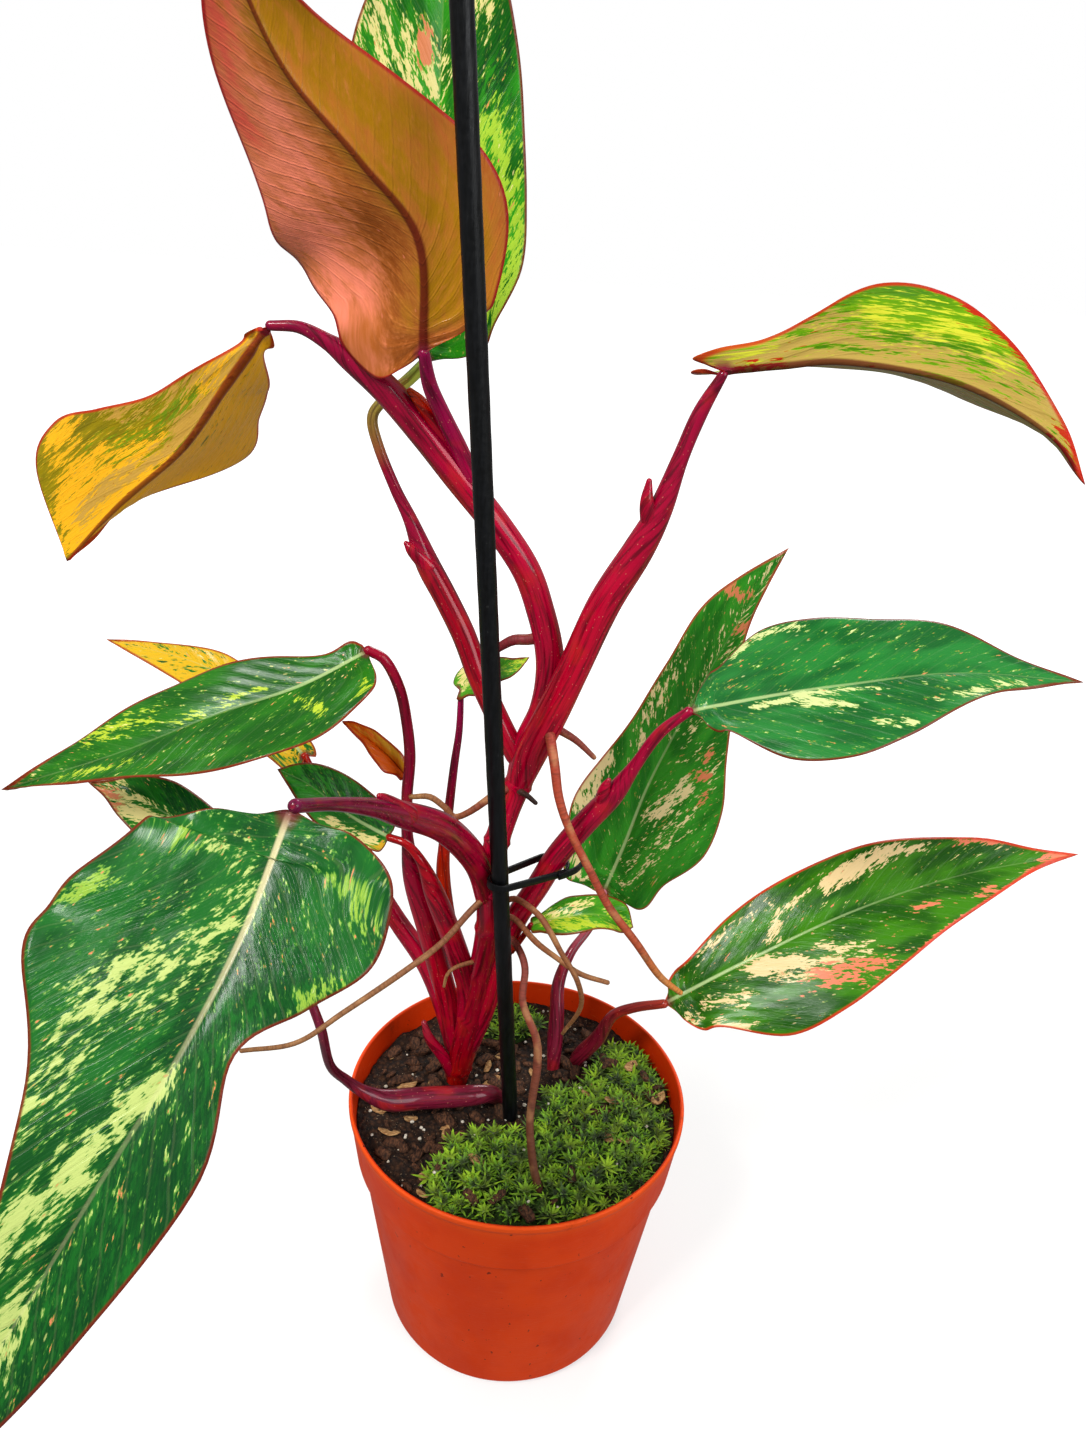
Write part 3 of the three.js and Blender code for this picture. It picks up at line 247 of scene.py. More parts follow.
# Stems, petioles and roots: colours from the first point to the last, and points x, y, z with
# the radius there. Names that start with root are aerial roots.
CLUMP = {
    "main_stem": ("7a2a22 8c1a2a 96182e 8e1428", [[-25, 13, 68, 3.6], [-23, 13, 90, 4.5], [-21, 12, 103, 5],
        [-18, 9, 124, 4.6], [-15, 5, 146, 4.4], [-13, -1, 169, 4.2], [-13, -4, 187, 4.2], [-12, -3, 200, 4],
        [-9, 0, 212, 4], [-6, 2, 221, 4.2], [-3, 3, 231, 5], [1, 4, 241, 5]]),
    "to_upper_left": ("8a1226 9c1830 981a30 8c1430 6c1430", [[-6, 2, 221, 4], [-3, 5, 234, 5],
        [1, 6, 245, 5], [2, 6, 256, 4.6], [1, 6, 266, 4.3], [-2, 6, 277, 4.2], [-7, 5, 290, 4.2],
        [-16, 4, 303, 4.2], [-27, 3, 316, 4.2], [-36, 2, 327, 4.2], [-46, 1, 338, 4], [-56, 1, 346, 3.4],
        [-62, 0, 350, 2.2], [-69, 0, 353, 1.6], [-76.5, -0.2, 353, 1.3]]),
    "to_upper_right": ("92142a a01c2c 98182c 84142c 7a1a30", [[-6, 2, 221, 4], [-2, 1, 234, 5],
        [3, 0, 247, 5], [9, -1, 264, 4.8], [16, -2, 284, 4.8], [24, -2, 300, 4.4], [29, -2, 312, 3.4],
        [33, -1, 326, 2.3], [37, 0, 338, 2.1], [41.7, -0.3, 348.1, 1.3]]),
    "to_top_left": ("7a2040 84183a 8c1630", [[-35, -12, 350, 1.5], [-34, -8, 342, 2], [-31, -4, 334, 2.2],
        [-27, 0, 325, 2.4], [-23, 2, 316, 2.6], [-17, 4, 306, 2.6]]),
    "to_top_back": ("8fa14c 8a7a40 7a1c30 7a1c30 7c2028 7c2028 8c1c28 8a1428", [[-39, 24, 343, 1.8],
        [-44, 24, 338, 1.8], [-51, 23, 332, 1.6], [-54, 22, 327, 1.6], [-52, 21, 319, 1.6],
        [-47, 19, 308, 1.7], [-42, 17, 299, 2.2], [-37, 16, 287, 3.6], [-31, 14, 277, 3.7],
        [-25, 12, 266, 3.7], [-20, 10, 254, 3.6], [-14, 8, 242, 3.5], [-7, 5, 230, 3.5]]),
    "to_front_left": ("94182c 8c1830 701a34 5c1c36", [[-13.5, -3, 181, 4], [-16, -8, 195, 4.2],
        [-20, -18, 209, 4.2], [-26, -36, 227, 4], [-34, -54, 241, 3.6], [-39, -70, 252, 2.4],
        [-44, -90, 264, 1.6], [-47, -112, 276, 1.5]]),
    "to_left": ("7a1c2a 7c1c30 84182e 96242e 8c2030", [[-52, 0, 264, 1.5], [-47, 0, 261, 1.6],
        [-43, 1, 252, 1.7], [-41, 2, 241, 1.7], [-40, 3, 228, 1.8], [-41, 4, 212, 1.8], [-41, 6, 196, 2],
        [-39, 8, 179, 3.6], [-34, 10, 157, 4], [-30, 12, 138, 4], [-26, 13, 120, 3.8], [-22, 13, 99, 3.2]]),
    "to_centre_left": ("8c2020 8c1c2c 98182e 8c1a2c", [[-46, 0, 200, 1.3], [-40, -2, 199, 1.4],
        [-35, -3, 193, 1.8], [-31, -1, 180, 3.4], [-25, 3, 159, 3.8], [-20, 7, 137, 3.8],
        [-20, 10, 119, 3.6], [-21, 12, 100, 3]]),
    "to_small_orange": ("c8682c 98302c", [[-42, 8, 218, 1], [-42, 6, 211, 1.1], [-41, 5, 200, 1.2]]),
    "to_left_back": ("8a2a24 84182c 96182e 861a2c", [[-82, 40, 206, 1.4], [-70, 36, 181, 1.6],
        [-58, 31, 165, 2.4], [-48, 27, 149, 3.4], [-37, 22, 135, 3.6], [-30, 18, 120, 3.4],
        [-25, 15, 102, 3]]),
    "to_small_middle": ("7a2040 7e1c34 a83222 98242a", [[-27, 31, 238, 1], [-27, 28, 226, 1.2],
        [-28, 24, 215, 1.4], [-29, 20, 201, 1.6], [-30, 17, 188, 2], [-30, 15, 177, 2.4],
        [-28, 12, 165, 2.4], [-24, 8, 151, 2]]),
    "to_right": ("8a2438 7e1a2e 96182c 9c1c2c 8c182c", [[44, 0, 251, 1.5], [36, 0, 243, 1.8],
        [30, 0, 232, 2], [24, 0, 221, 3.4], [16, 0, 210, 3.8], [8, -1, 198, 3.8], [2, -1, 185, 3.8],
        [-4, 0, 172, 3.8], [-9, 4, 152, 3.6], [-13, 8, 128, 3.6], [-18, 11, 106, 3]]),
    "to_small_right": ("8a3a2c 8c1c2c", [[-5, 2, 157, 1.2], [-2, -2, 165, 1], [1, -6, 174, 0.9]]),
    "base_bract": ("84343c 8c2434 8c2430", [[-35, 8, 118, 1], [-33, 8, 111, 1.8], [-28, 9, 102, 2.2],
        [-25, 11, 93, 2.2]]),
    "top_bract": ("a8402c 9c2430 92182e", [[-40, -1, 339, 0.9], [-37, -1, 336, 1.8], [-33, 1, 330, 2.2],
        [-29, 3, 323, 2]]),
    "sheath_tip_upper_right": ("8c182c", [[27, -2, 307, 3], [25, -4, 314, 2], [25, -4, 320, 0.8]]),
    "sheath_tip_top_back": ("8c182c", [[-36, 15, 286, 3], [-41, 14, 291, 2], [-43, 14, 293, 0.8]]),
    "sheath_tip_right": ("8c182c", [[21, 0, 218, 3], [21, -2, 224, 1.8], [22, -2, 227, 0.8]]),
    "sheath_tip_front_left": ("8c182c", [[-33, -54, 241, 3], [-37, -63, 250, 1.8], [-38, -66, 253, 0.8]]),
    "root_long_right": ("a83a28 b0482c a8422c b2502e d88a3c", [[3, -4, 242, 1.6], [5, -8, 234, 1.5],
        [7, -10, 224, 1.4], [11, -12, 214, 1.3], [18, -13, 201, 1.3], [25, -13, 188, 1.3],
        [35, -12, 174, 1.3], [44, -10, 160, 1.2], [52, -8, 152, 0.9]]),
    "root_short_right": ("8c2c24 7c3c2a", [[4, 2, 242, 1.4], [11, 2, 238, 1.1], [17, 1, 233, 0.8]]),
    "root_long_left": ("7c4428 8c5c34 84582f", [[-13, -4, 184, 1.2], [-19, -10, 180, 1.1],
        [-27, -16, 172, 1], [-39, -24, 165, 1], [-55, -34, 157, 0.9], [-68, -42, 151, 0.8],
        [-83, -48, 152, 0.7]]),
    "root_hooked": ("8c4426 945a34 8c6038", [[-13, -5, 182, 1], [-9, -7, 183, 1], [-4, -8, 185, 1],
        [3, -14, 184, 1], [7, -17, 180, 1], [11, -18, 173, 0.9], [17, -18, 162, 0.9], [19, -15, 149, 0.8],
        [14, -11, 134, 0.6]]),
    "root_cut": ("8c4428 9c5c34 946038", [[-13, -4, 178, 1], [-9, -7, 178, 1], [-4, -8, 177, 1],
        [3, -11, 171, 1], [10, -12, 166, 0.9], [18, -13, 161, 0.9], [27, -14, 159, 0.8]]),
    "root_down": ("7a2c24 8a3c2a 74402a 5a3422", [[-7, -1, 166, 1.2], [-3, -6, 165, 1.2],
        [0, -12, 161, 1.2], [0, -18, 152, 1.2], [5, -23, 142, 1.3], [6, -26, 133, 1.4], [5, -30, 121, 1.3],
        [5, -33, 112, 1.3], [7, -36, 99, 1.4], [10, -38, 88, 1.5]]),
    "root_loop": ("8c4c2c 94683c", [[-16, 2, 152, 0.8], [-23, -2, 152, 0.7], [-26, -4, 150, 0.6],
        [-27, -4, 145, 0.5]]),
    "root_short_left": ("946838 8c4a2c 802c20", [[-39, -1, 216, 0.8], [-33, -2, 217, 1], [-28, -3, 214, 1],
        [-25, -3, 211, 1], [-20, -4, 214, 1.1], [-12, -2, 220, 1.3], [-7, 1, 221, 1.3]]),
    "root_bud": ("8a1c24 6c1420", [[0, 6, 270, 1.8], [-5, 7, 268, 1.7], [-10, 8, 267, 1.6],
        [-15, 10, 263, 1.3]]),
    "root_dark": ("4a2a20 2c1a14", [[-7, 0, 221, 1.1], [-3, -4, 221, 0.9], [0, -5, 219, 0.7]]),
}
SHOOT_RIGHT_BACK = {
    "to_right_back": ("b0707a 7a2c38 642230 5c2028", [[28, 52, 149, 1.5], [24, 47, 137, 1.6],
        [17, 40, 129, 1.8], [13, 34, 119, 2.4], [13, 29, 109, 2.8], [13, 25, 99, 3], [13, 21, 90, 2.4],
        [13, 19, 74, 2]]),
}
SHOOT_RIGHT_LOW = {
    "to_right_low": ("8a3c34 6a2430 5c2028", [[50, 10, 132, 1.6], [40, 14, 126, 1.8], [33, 18, 118, 2],
        [29, 22, 104, 2.8], [23, 24, 93, 3], [21, 26, 84, 2.4], [20, 28, 76, 2]]),
}
SHOOT_LEFT_LOW = {
    "to_left_low": ("4a1e22 602230 54202c 642434 5c2030", [[-4, 8, 74, 2.4], [-6, 5, 86, 2.8],
        [-10, 0, 94, 3.2], [-18, -3, 95.5, 3.8], [-34, -6, 96, 4], [-45, -10, 98, 3.8],
        [-53, -12, 103, 2.4], [-59, -14, 110, 1.8], [-63, -20, 122, 1.6], [-64, -26, 142, 1.6],
        [-67, -25, 152, 1.5], [-74, -19, 169, 1.5], [-85, -10, 187, 1.4]]),
}

# Outlines of the moss, seen from above.
MOSS_RIGHT = [[-26, -47], [-27, -30], [-16, -17], [4, -12], [8, 4], [24, 12], [32, 30], [42, 33],
    [52, 15], [55, -8], [47, -30], [33, -44], [13, -51], [-9, -52]]
MOSS_BACK = [[-22, 40], [-16, 51], [2, 52], [8, 44], [0, 34], [-14, 32]]


# Soft strokes of other tones on each blade: share along and place across (-1 left edge, 1 right
# edge) where the stroke starts and ends, its half width in millimetres and its strength.
STROKES = {
    "leaf_front_left": {
        "yellow": [(0.46, 0.82, 0.53, 0.97, 3.2, 0.85), (0.34, -0.6, 0.4, -0.8, 5, 0.6),
            (0.5, -0.95, 0.54, -1, 5, 0.7), (0.33, 0.75, 0.38, 0.6, 5, 0.5)],
        "cream": [(0.35, 0.34, 0.43, 0.12, 5, 0.6), (0.43, 0.05, 0.56, 0.32, 5, 0.85),
            (0.56, 0.32, 0.65, 0.58, 6, 0.85), (0.65, 0.58, 0.72, 0.88, 6, 0.75),
            (0.53, 0.11, 0.64, 0.27, 4, 0.65), (0.69, 0.02, 0.75, 0.3, 3.4, 1.3),
            (0.75, 0.3, 0.8, 0.85, 4.4, 1.2), (0.82, 0.1, 0.86, -0.08, 4, 0.9),
            (0.2, 0.3, 0.3, 0.6, 7, 0.4)],
        "dark": [(0.5, -0.4, 0.95, -0.5, 16, 0.9)],
    },
    "leaf_top_left": {
        "cream": [(0.42, 0.72, 0.72, 0.72, 13, 1.4), (0.72, 0.72, 0.98, 0.72, 8, 0.6),
            (0.22, 0.75, 0.42, 0.72, 9, 0.5), (0.66, 0.4, 0.68, 0.95, 6, 1.3)],
        "pink": [(0.72, 0.9, 0.98, 0.85, 6, 0.9)],
        "yellow": [(0.35, -0.3, 0.95, -0.5, 13, 1.4)],
        "dark": [(0.08, 0.2, 0.5, 0.18, 11, 1.5), (0.5, 0.05, 0.85, 0.08, 5, 1.1),
            (0.08, -0.2, 0.36, -0.2, 7, 1.2), (0.03, 0.5, 0.14, 0.75, 8, 1.3),
            (0.55, -0.6, 0.66, -0.45, 6, 0.7)],
    },
    "leaf_top_back": {
        "cream": [(0.7, -0.1, 0.75, -0.92, 8, 0.8), (0.8, -0.8, 0.95, -0.3, 8, 0.6),
            (0.77, 0.5, 0.9, 0.3, 6, 0.6)],
        "pink": [(0.72, -0.18, 0.74, -0.22, 2.5, 1.3)],
        "yellow": [(0.5, 0.88, 0.62, 0.6, 7, 1.0), (0.32, 0.8, 0.5, 0.85, 7, 0.95)],
        "dark": [(0.62, 0.4, 0.72, 0.75, 8, 0.8), (0.3, -0.5, 0.55, -0.5, 10, 0.6)],
    },
    "leaf_upper_left": {
        "yellow": [(0.81, -0.9, 0.87, -0.4, 7, 0.9), (0.2, 0.75, 0.85, 0.8, 20, 2.4)],
        "dark": [(0.45, -0.4, 0.8, -0.4, 10, 0.85), (0.15, -0.5, 0.5, -0.7, 8, 0.6)],
        "cream": [(0.4, -0.98, 0.7, -0.9, 5, 0.8), (0.5, -0.16, 0.9, -0.2, 3.5, 1.1),
            (0.12, -0.5, 0.5, -0.55, 4, 0.65), (0.35, -0.3, 0.6, -0.3, 3, 0.9)],
        "pink": [(0, -0.2, 0.14, -0.8, 4, 0.9)],
    },
    "leaf_upper_right": {
        "cream": [(0.57, 0.6, 0.72, 0.67, 7, 0.7), (0.3, 0.5, 0.6, 0.5, 7, 0.2),
            (0.15, 1, 0.38, 1, 3.5, 0.9)],
        "dark": [(0.4, 0.8, 0.52, 0.77, 6, 0.8), (0.78, 0.4, 0.9, 0.6, 8, 1.0),
            (0.3, 0.2, 0.7, 0.2, 6, 0.6)],
        "pink": [(0.62, 1, 0.82, 1, 1.6, 1.2), (0.9, 0.8, 1, 0, 4, 1.1), (0, 0.05, 0.4, 0.08, 1.8, 1.0)],
        "yellow": [(0.1, -0.5, 0.95, -0.5, 24, 1.6)],
    },
    "leaf_left": {
        # On this blade the last yellow stroke, at shares 0.74 to 0.86 on the left half, is a painted sheen.
        "yellow": [(0.57, 0.13, 0.64, 0.17, 2.6, 0.95), (0.5, 0.23, 0.57, 0.25, 1.6, 0.9),
            (0.69, 0.5, 0.81, 0.88, 4, 0.65), (0.41, -0.65, 0.44, -0.27, 2, 0.75),
            (0.25, -0.8, 0.32, -0.85, 2.5, 0.7), (0.74, -0.5, 0.86, -0.5, 2, 0.75)],
        "dark": [(0.1, 0.5, 0.35, 0.4, 8, 0.6)],
    },
    "leaf_left_back": {
        "yellow": [(0.4, 0, 1, 0, 22, 1.5)],
        "dark": [(0.76, -0.3, 0.8, -0.7, 2, 1.2)],
    },
    "leaf_left_low": {
        "cream": [(0.76, -0.5, 0.9, -0.6, 7, 1.1)],
        "pink": [(0.85, -0.8, 0.93, -0.65, 3, 1.1)],
        "dark": [(0.2, 0.3, 0.7, 0.6, 9, 0.9)],
    },
    "leaf_centre_left": {
        "yellow": [(0.2, -0.9, 0.42, -1, 3, 1.3)],
        "cream": [(0.36, -0.55, 0.56, -0.75, 3.5, 1.0)],
        "pink": [(0, 0, 0.08, -0.3, 3, 1.0)],
        "dark": [(0.3, 0.4, 0.8, 0.4, 7, 0.8)],
    },
    "leaf_small_orange": {
        "yellow": [(0.1, 0.5, 0.95, 0.5, 6, 1.5)],
        "pink": [(0.05, -0.5, 0.9, -0.5, 5, 1.3)],
    },
    "leaf_right": {
        "cream": [(0.5, 0.11, 0.56, 0.34, 3.2, 0.8), (0.42, 0.18, 0.5, 0.06, 1.8, 0.9),
            (0.5, 0.03, 0.62, 0.12, 1.6, 0.8), (0.61, 0.64, 0.65, 0.8, 2.4, 0.8),
            (0.72, 0.62, 0.78, 0.86, 1.8, 0.85), (0.78, 0.7, 0.86, 0.6, 2, 0.85),
            (0.4, -0.93, 0.52, -0.9, 2.4, 0.75), (0.6, -0.8, 0.62, -0.8, 2, 0.7)],
    },
    "leaf_right_back": {
        "cream": [(0.47, -0.85, 0.55, -1, 5, 1.3), (0.22, -0.61, 0.36, -0.85, 3, 1.2),
            (0.49, 0.2, 0.56, 0.45, 4.5, 1.0), (0.6, -0.6, 0.76, -0.92, 5, 0.6),
            (0.3, 0.3, 0.7, 0.7, 11, 0.38), (0.65, 0.1, 0.95, 0.3, 7, 0.42)],
        "pink": [(0.62, 0.66, 0.63, 0.68, 2, 1.3), (0.59, 0.55, 0.59, 0.7, 2, 1.2),
            (0.55, 0.73, 0.56, 0.73, 2.2, 1.2), (0.84, 0.3, 0.84, 1, 2.5, 1.1),
            (0.88, -0.9, 0.9, -0.2, 2, 1.0)],
    },
    "leaf_right_low": {
        "cream": [(0.46, 0.12, 0.55, 0.45, 5, 1.15), (0.55, 0.27, 0.61, 0.52, 3, 0.95),
            (0.28, 0.6, 0.31, 0.75, 3, 0.95), (0.34, 0.85, 0.4, 0.97, 3, 0.95),
            (0.34, 0.45, 0.42, 0.43, 4, 0.75), (0.2, 0.6, 0.28, 0.85, 5, 0.65),
            (0.5, -0.16, 0.52, -0.45, 2.6, 0.9), (0.52, -0.45, 0.58, -0.6, 2.4, 0.85),
            (0.61, -0.6, 0.7, -0.77, 4, 1.25), (0.7, -0.77, 0.75, -0.78, 2.6, 0.85),
            (0.35, -0.7, 0.5, -0.8, 4, 0.5)],
        "pink": [(0.54, 0.55, 0.61, 0.82, 5, 1.15), (0.8, -0.97, 0.85, -0.95, 2, 1.2),
            (0.7, 0.32, 0.74, 0.46, 2, 0.85), (0.8, 0.7, 0.82, 0.75, 1.8, 1.0), (0.95, 0, 1, 0, 4, 1.2),
            (0.6, 1, 0.92, 1, 1.1, 1.3)],
    },
    "leaf_small_right": {
        "yellow": [(0.42, 0, 0.75, 0.85, 4, 0.95), (0.88, 0, 0.95, 0.3, 4, 0.9)],
        "cream": [(0.45, -0.2, 0.65, -0.5, 3, 0.7)],
    },
    "leaf_small_middle": {
        "yellow": [(0.88, 0, 1, 0, 4, 1.1)],
        "cream": [(0.3, -0.1, 0.35, -0.15, 3, 1.0), (0.4, -0.7, 0.45, -0.75, 3.5, 1.1)],
    },
}
TONES = ["cream", "yellow", "pink", "dark"]

# Colours of the blades, in the order of PALETTE_KEYS, and what differs from the plain green.
PALETTE_KEYS = ["deep", "base", "fleck", "cream", "yellow", "pink", "dark", "rib", "edge"]


def palette_of(codes):
    """Palette from its codes in one row."""
    return dict(zip(PALETTE_KEYS, codes.split()))


GREEN = palette_of("0c4a12 1c6e1a 6aa32c ecdc90 b8cc30 e08058 063a18 b4cc88 7a2014")
BRIGHT_GREEN = dict(GREEN, deep="2a7a0e", base="4c9c18", fleck="8cc02c", rib="b8d060")
PALETTES = {
    "leaf_top_left": palette_of("b05a20 c86c30 cc7838 ff8e70 a47404 e45848 884410 600c0c a0141c"),
    "leaf_upper_left": palette_of("7c700a 988408 bca41c c89a40 fcb41c a01408 5c8c08 780a0c b41808"),
    "leaf_upper_right": palette_of("407804 649804 9cbc0c cccc30 b49448 b01408 387404 54060a b41c0c"),
    "leaf_top_back": dict(GREEN, deep="0e5c10", base="2c9418", fleck="8cc034", yellow="a8cc38"),
    "leaf_left_back": dict(GREEN, yellow="dcac18", edge="a03810"),
    "leaf_small_orange": dict(GREEN, deep="cc7c10", base="d88c18", fleck="dc9c24", yellow="e4a41c",
                              pink="e0580c", rib="8a1408", edge="b02408"),
    "leaf_small_right": BRIGHT_GREEN,
    "leaf_small_middle": BRIGHT_GREEN,
    "leaf_centre_left": dict(GREEN, deep="146414", base="2c8820", yellow="dca824"),
    "leaf_front_left": dict(GREEN, deep="0c4818", base="17621f", fleck="4c9430", cream="bccb74",
                            yellow="94b840", rib="dcd0a0"),
    "leaf_right": dict(GREEN, deep="125c24", base="227a30", cream="d4dc94"),
    "leaf_right_back": dict(GREEN, deep="1e7018", base="349424", cream="f0dca0", edge="a8442c"),
    "leaf_right_low": dict(GREEN, deep="184f04", base="397c08", fleck="5a9024", cream="f0d098",
                           pink="ec7c5c", edge="d0341c"),
    "leaf_left": dict(GREEN, deep="10520c", base="216c10", edge="8a2414"),
}
UNDERSIDE_SEEN = ["leaf_top_left", "leaf_upper_left", "leaf_upper_right"]

# Ring scars on the main stem: height and how far they stand out.
RING_SCARS = [(94, 0.5), (121, 0.45), (146, 0.4), (168, 0.5), (186, 0.45), (203, 0.5), (221, 0.5)]


def linear(code):
    """Linear colour from a six figure code."""
    channels = [int(code[i:i + 2], 16) / 255 for i in (0, 2, 4)]
    return tuple(c / 12.92 if c <= 0.04045 else ((c + 0.055) / 1.055) ** 2.4 for c in channels)


def blended(code, other, part):
    """Colour code a part of the way from one to the other."""
    pairs = [(int(code[i:i + 2], 16), int(other[i:i + 2], 16)) for i in (0, 2, 4)]
    return "".join(f"{round(a + (b - a) * part):02x}" for a, b in pairs)


class Nodes:
    """Short ways to add nodes to the tree of a material or the world."""

    def __init__(self, tree):
        self.tree = tree

    def join(self, socket, value):
        if isinstance(value, bpy.types.NodeSocket):
            self.tree.links.new(value, socket)
        elif isinstance(value, str):
            socket.default_value = (*linear(value), 1)
        else:
            socket.default_value = value

    def add(self, kind, values, out=0, **settings):
        node = self.tree.nodes.new("ShaderNode" + kind)
        for key, value in settings.items():
            setattr(node, key, value)
        for key, value in values.items():
            self.join(node.inputs[key], value)
        return node.outputs[out]

    def mix(self, factor, a, b):
        """From colour a to colour b. The node's colour sockets go by the numbers 6, 7 and 2."""
        return self.add("Mix", {0: factor, 6: a, 7: b}, 2, data_type="RGBA")

    def math(self, operation, a, b=0.0):
        return self.add("Math", {0: a, 1: b}, operation=operation)

    def rise(self, value, low, high, bottom=0.0, top=1.0):
        """Smooth step from bottom to top while value goes from low to high."""
        values = {"Value": value, "From Min": low, "From Max": high, "To Min": bottom, "To Max": top}
        return self.add("MapRange", values, interpolation_type="SMOOTHSTEP")

    def cover(self, colour, code, *step):
        """Another colour over this one, as strongly as a smooth step says."""
        return self.mix(self.rise(*step), colour, code)

    def contrast(self, value, factor):
        """Spreads a value out on both sides of a half."""
        spread = self.math("MULTIPLY", self.math("SUBTRACT", value, 0.5), factor)
        return self.math("ADD", spread, 0.5)

    def blend(self, a, b, part):
        return self.math("ADD", self.math("MULTIPLY", a, 1 - part), self.math("MULTIPLY", b, part))

    def scaled(self, vector, sizes):
        return self.add("VectorMath", {0: vector, 1: sizes}, operation="MULTIPLY")

    def noise(self, vector, scale=1.0, detail=2.0, roughness=0.55):
        values = {"Vector": vector, "Scale": scale, "Detail": detail, "Roughness": roughness}
        return self.add("TexNoise", values)

    def cells(self, vector, scale):
        return self.add("TexVoronoi", {"Vector": vector, "Scale": scale})

    def parts(self, vector):
        node = self.tree.nodes.new("ShaderNodeSeparateXYZ")
        self.join(node.inputs[0], vector)
        return list(node.outputs)


class Look(Nodes):
    """A material of one shader, and what feeds it."""

    def __init__(self, name, fixed):
        self.material = bpy.data.materials.new(name)
        self.material.use_nodes = True
        super().__init__(self.material.node_tree)
        self.shader = self.tree.nodes["Principled BSDF"]
        for socket, value in fixed.items():
            self.shader.inputs[socket].default_value = value

    def millimetres(self):
        return self.scaled(self.add("TexCoord", {}, "Object"), (1000, 1000, 1000))

    def value(self, name, out="Vector"):
        return self.add("Attribute", {}, out, attribute_name=name)

    def bump(self, height, distance, strength=1.0):
        values = {"Height": height, "Distance": distance, "Strength": strength}
        self.join(self.shader.inputs["Normal"], self.add("Bump", values))

    def finish(self, colour, roughness):
        self.join(self.shader.inputs["Base Color"], colour)
        self.join(self.shader.inputs["Roughness"], roughness)
        return self.material


def leaf_look(name, palette, seed, raised, soft, margin, fade):
    """Blade: dashes of the tones along the side veins, midrib, edge line, veins in relief."""
    spread = CRISP_SPREAD if soft < SOFT_FROM else SOFT_SPREAD
    look = Look(name, {"Coat Weight": 0.06 if raised else 0.11, "Coat Roughness": 0.15,
                       "Specular IOR Level": 0.12 if raised else 0.15})
    vein = look.add("VectorMath", {0: look.value("vein"), 1: (seed * 31.0, 0, seed * 7.0)},
                    operation="ADD")
    vein_x, _, _ = look.parts(look.value("vein"))
    to_rim, to_rib, share = look.parts(look.value("place"))
    cream, yellow, pink = look.parts(look.value("tone", "Color"))
    dark = look.value("tone", "Alpha")
    streak = look.noise(look.scaled(vein, (0.7, 0.25, 1)), detail=3)
    other = look.noise(look.scaled(vein, (0.75, 0.3, 2)), detail=3)
    dash = look.noise(look.scaled(vein, (2.0, 0.75, 1)), detail=3)
    patch = look.noise(look.scaled(vein, (0.1, 0.06, 1)), detail=2)
    cluster = look.rise(look.noise(look.scaled(vein, (0.16, 0.12, 3)), detail=2), 0.3, 0.7, 0.55, 1.3)
    streaky = look.contrast(look.blend(streak, dash, 0.45), spread)
    patchy = look.contrast(look.blend(other, dash, 0.4), spread)
    colour = look.mix(look.rise(patch, 0.38, 0.62), palette["deep"], palette["base"])
    shadow = look.math("ADD", patchy, look.math("MULTIPLY", dark, 0.5))
    colour = look.cover(colour, palette["dark"], shadow, 0.82 - soft, 0.98 + soft, 0, 0.8)
    wander = look.math("MULTIPLY", look.noise(look.scaled(vein, (0.05, 0.05, 1))), 5.0)
    turn = look.math("ADD", look.math("MULTIPLY", vein_x, 2 * math.pi / SIDE_VEIN_STEP), wander)
    side_vein = look.rise(look.math("COSINE", turn), 0.86, 1.0)
    fine_vein = look.rise(look.math("COSINE", look.math("MULTIPLY", turn, 5.0)), 0.2, 1.0)
    colour = look.mix(look.math("MULTIPLY", side_vein, 0.03), colour, palette["rib"])
    colour = look.mix(look.math("MULTIPLY", fine_vein, 0.035), colour, palette["fleck"])
    colour = look.cover(colour, palette["fleck"], dash, 0.66, 0.72, 0, 0.45)
    dots = look.cells(look.scaled(vein, (0.3, 0.2, 1)), 1.0)
    colour = look.cover(colour, palette["cream"], dots, 0.05, 0.1, 0.6, 0)
    for mask, code, grain in ((yellow, "yellow", streaky), (cream, "cream", streaky),
                              (pink, "pink", patchy)):
        reach = look.math("MULTIPLY", look.math("MULTIPLY", mask, cluster), TONE_REACH)
        reach = look.math("ADD", grain, look.math("SUBTRACT", reach, TONE_FLOOR))
        colour = look.cover(colour, palette["fleck"], reach, 0.4 - soft, 0.51, 0, 0.5)
        colour = look.cover(colour, palette[code], reach, 0.51 - soft, 0.51 + soft, 0, 0.95)
    width = look.rise(share, 0, 0.8, *((1.5, 0.6) if raised else (0.8, 0.3)))
    rib = look.math("SUBTRACT", 1.0, look.rise(look.math("DIVIDE", to_rib, width), 0.4, 1.1))
    rib = look.math("MULTIPLY", rib, look.rise(share, 0.05, fade, 0.9 if raised else 0.8,
                                               0.8 if raised else 0.15))
    colour = look.mix(rib, colour, palette["rib"])
    collar = look.math("SUBTRACT", look.rise(share, 0.0, 0.035, 0.9, 0), look.rise(to_rib, 1.0, 4.0))
    colour = look.mix(look.math("MAXIMUM", collar, 0.0), colour, "74142e")
    edge = look.rise(to_rim, 0.35 * margin, 0.85 * margin, 0.9, 0)
    colour = look.mix(edge, colour, palette["edge"])
    roughness = look.rise(look.noise(vein, 0.25, 3), 0.3, 0.7, 0.22, 0.36)
    relief = look.math("MULTIPLY", side_vein, 0.35 if raised else -0.35)
    relief = look.math("ADD", relief, look.math("MULTIPLY", fine_vein, 0.08))
    relief = look.math("ADD", relief, look.math("MULTIPLY", streak, 1.2))
    look.bump(relief, 0.0004, 0.45)
    return look.finish(colour, roughness)


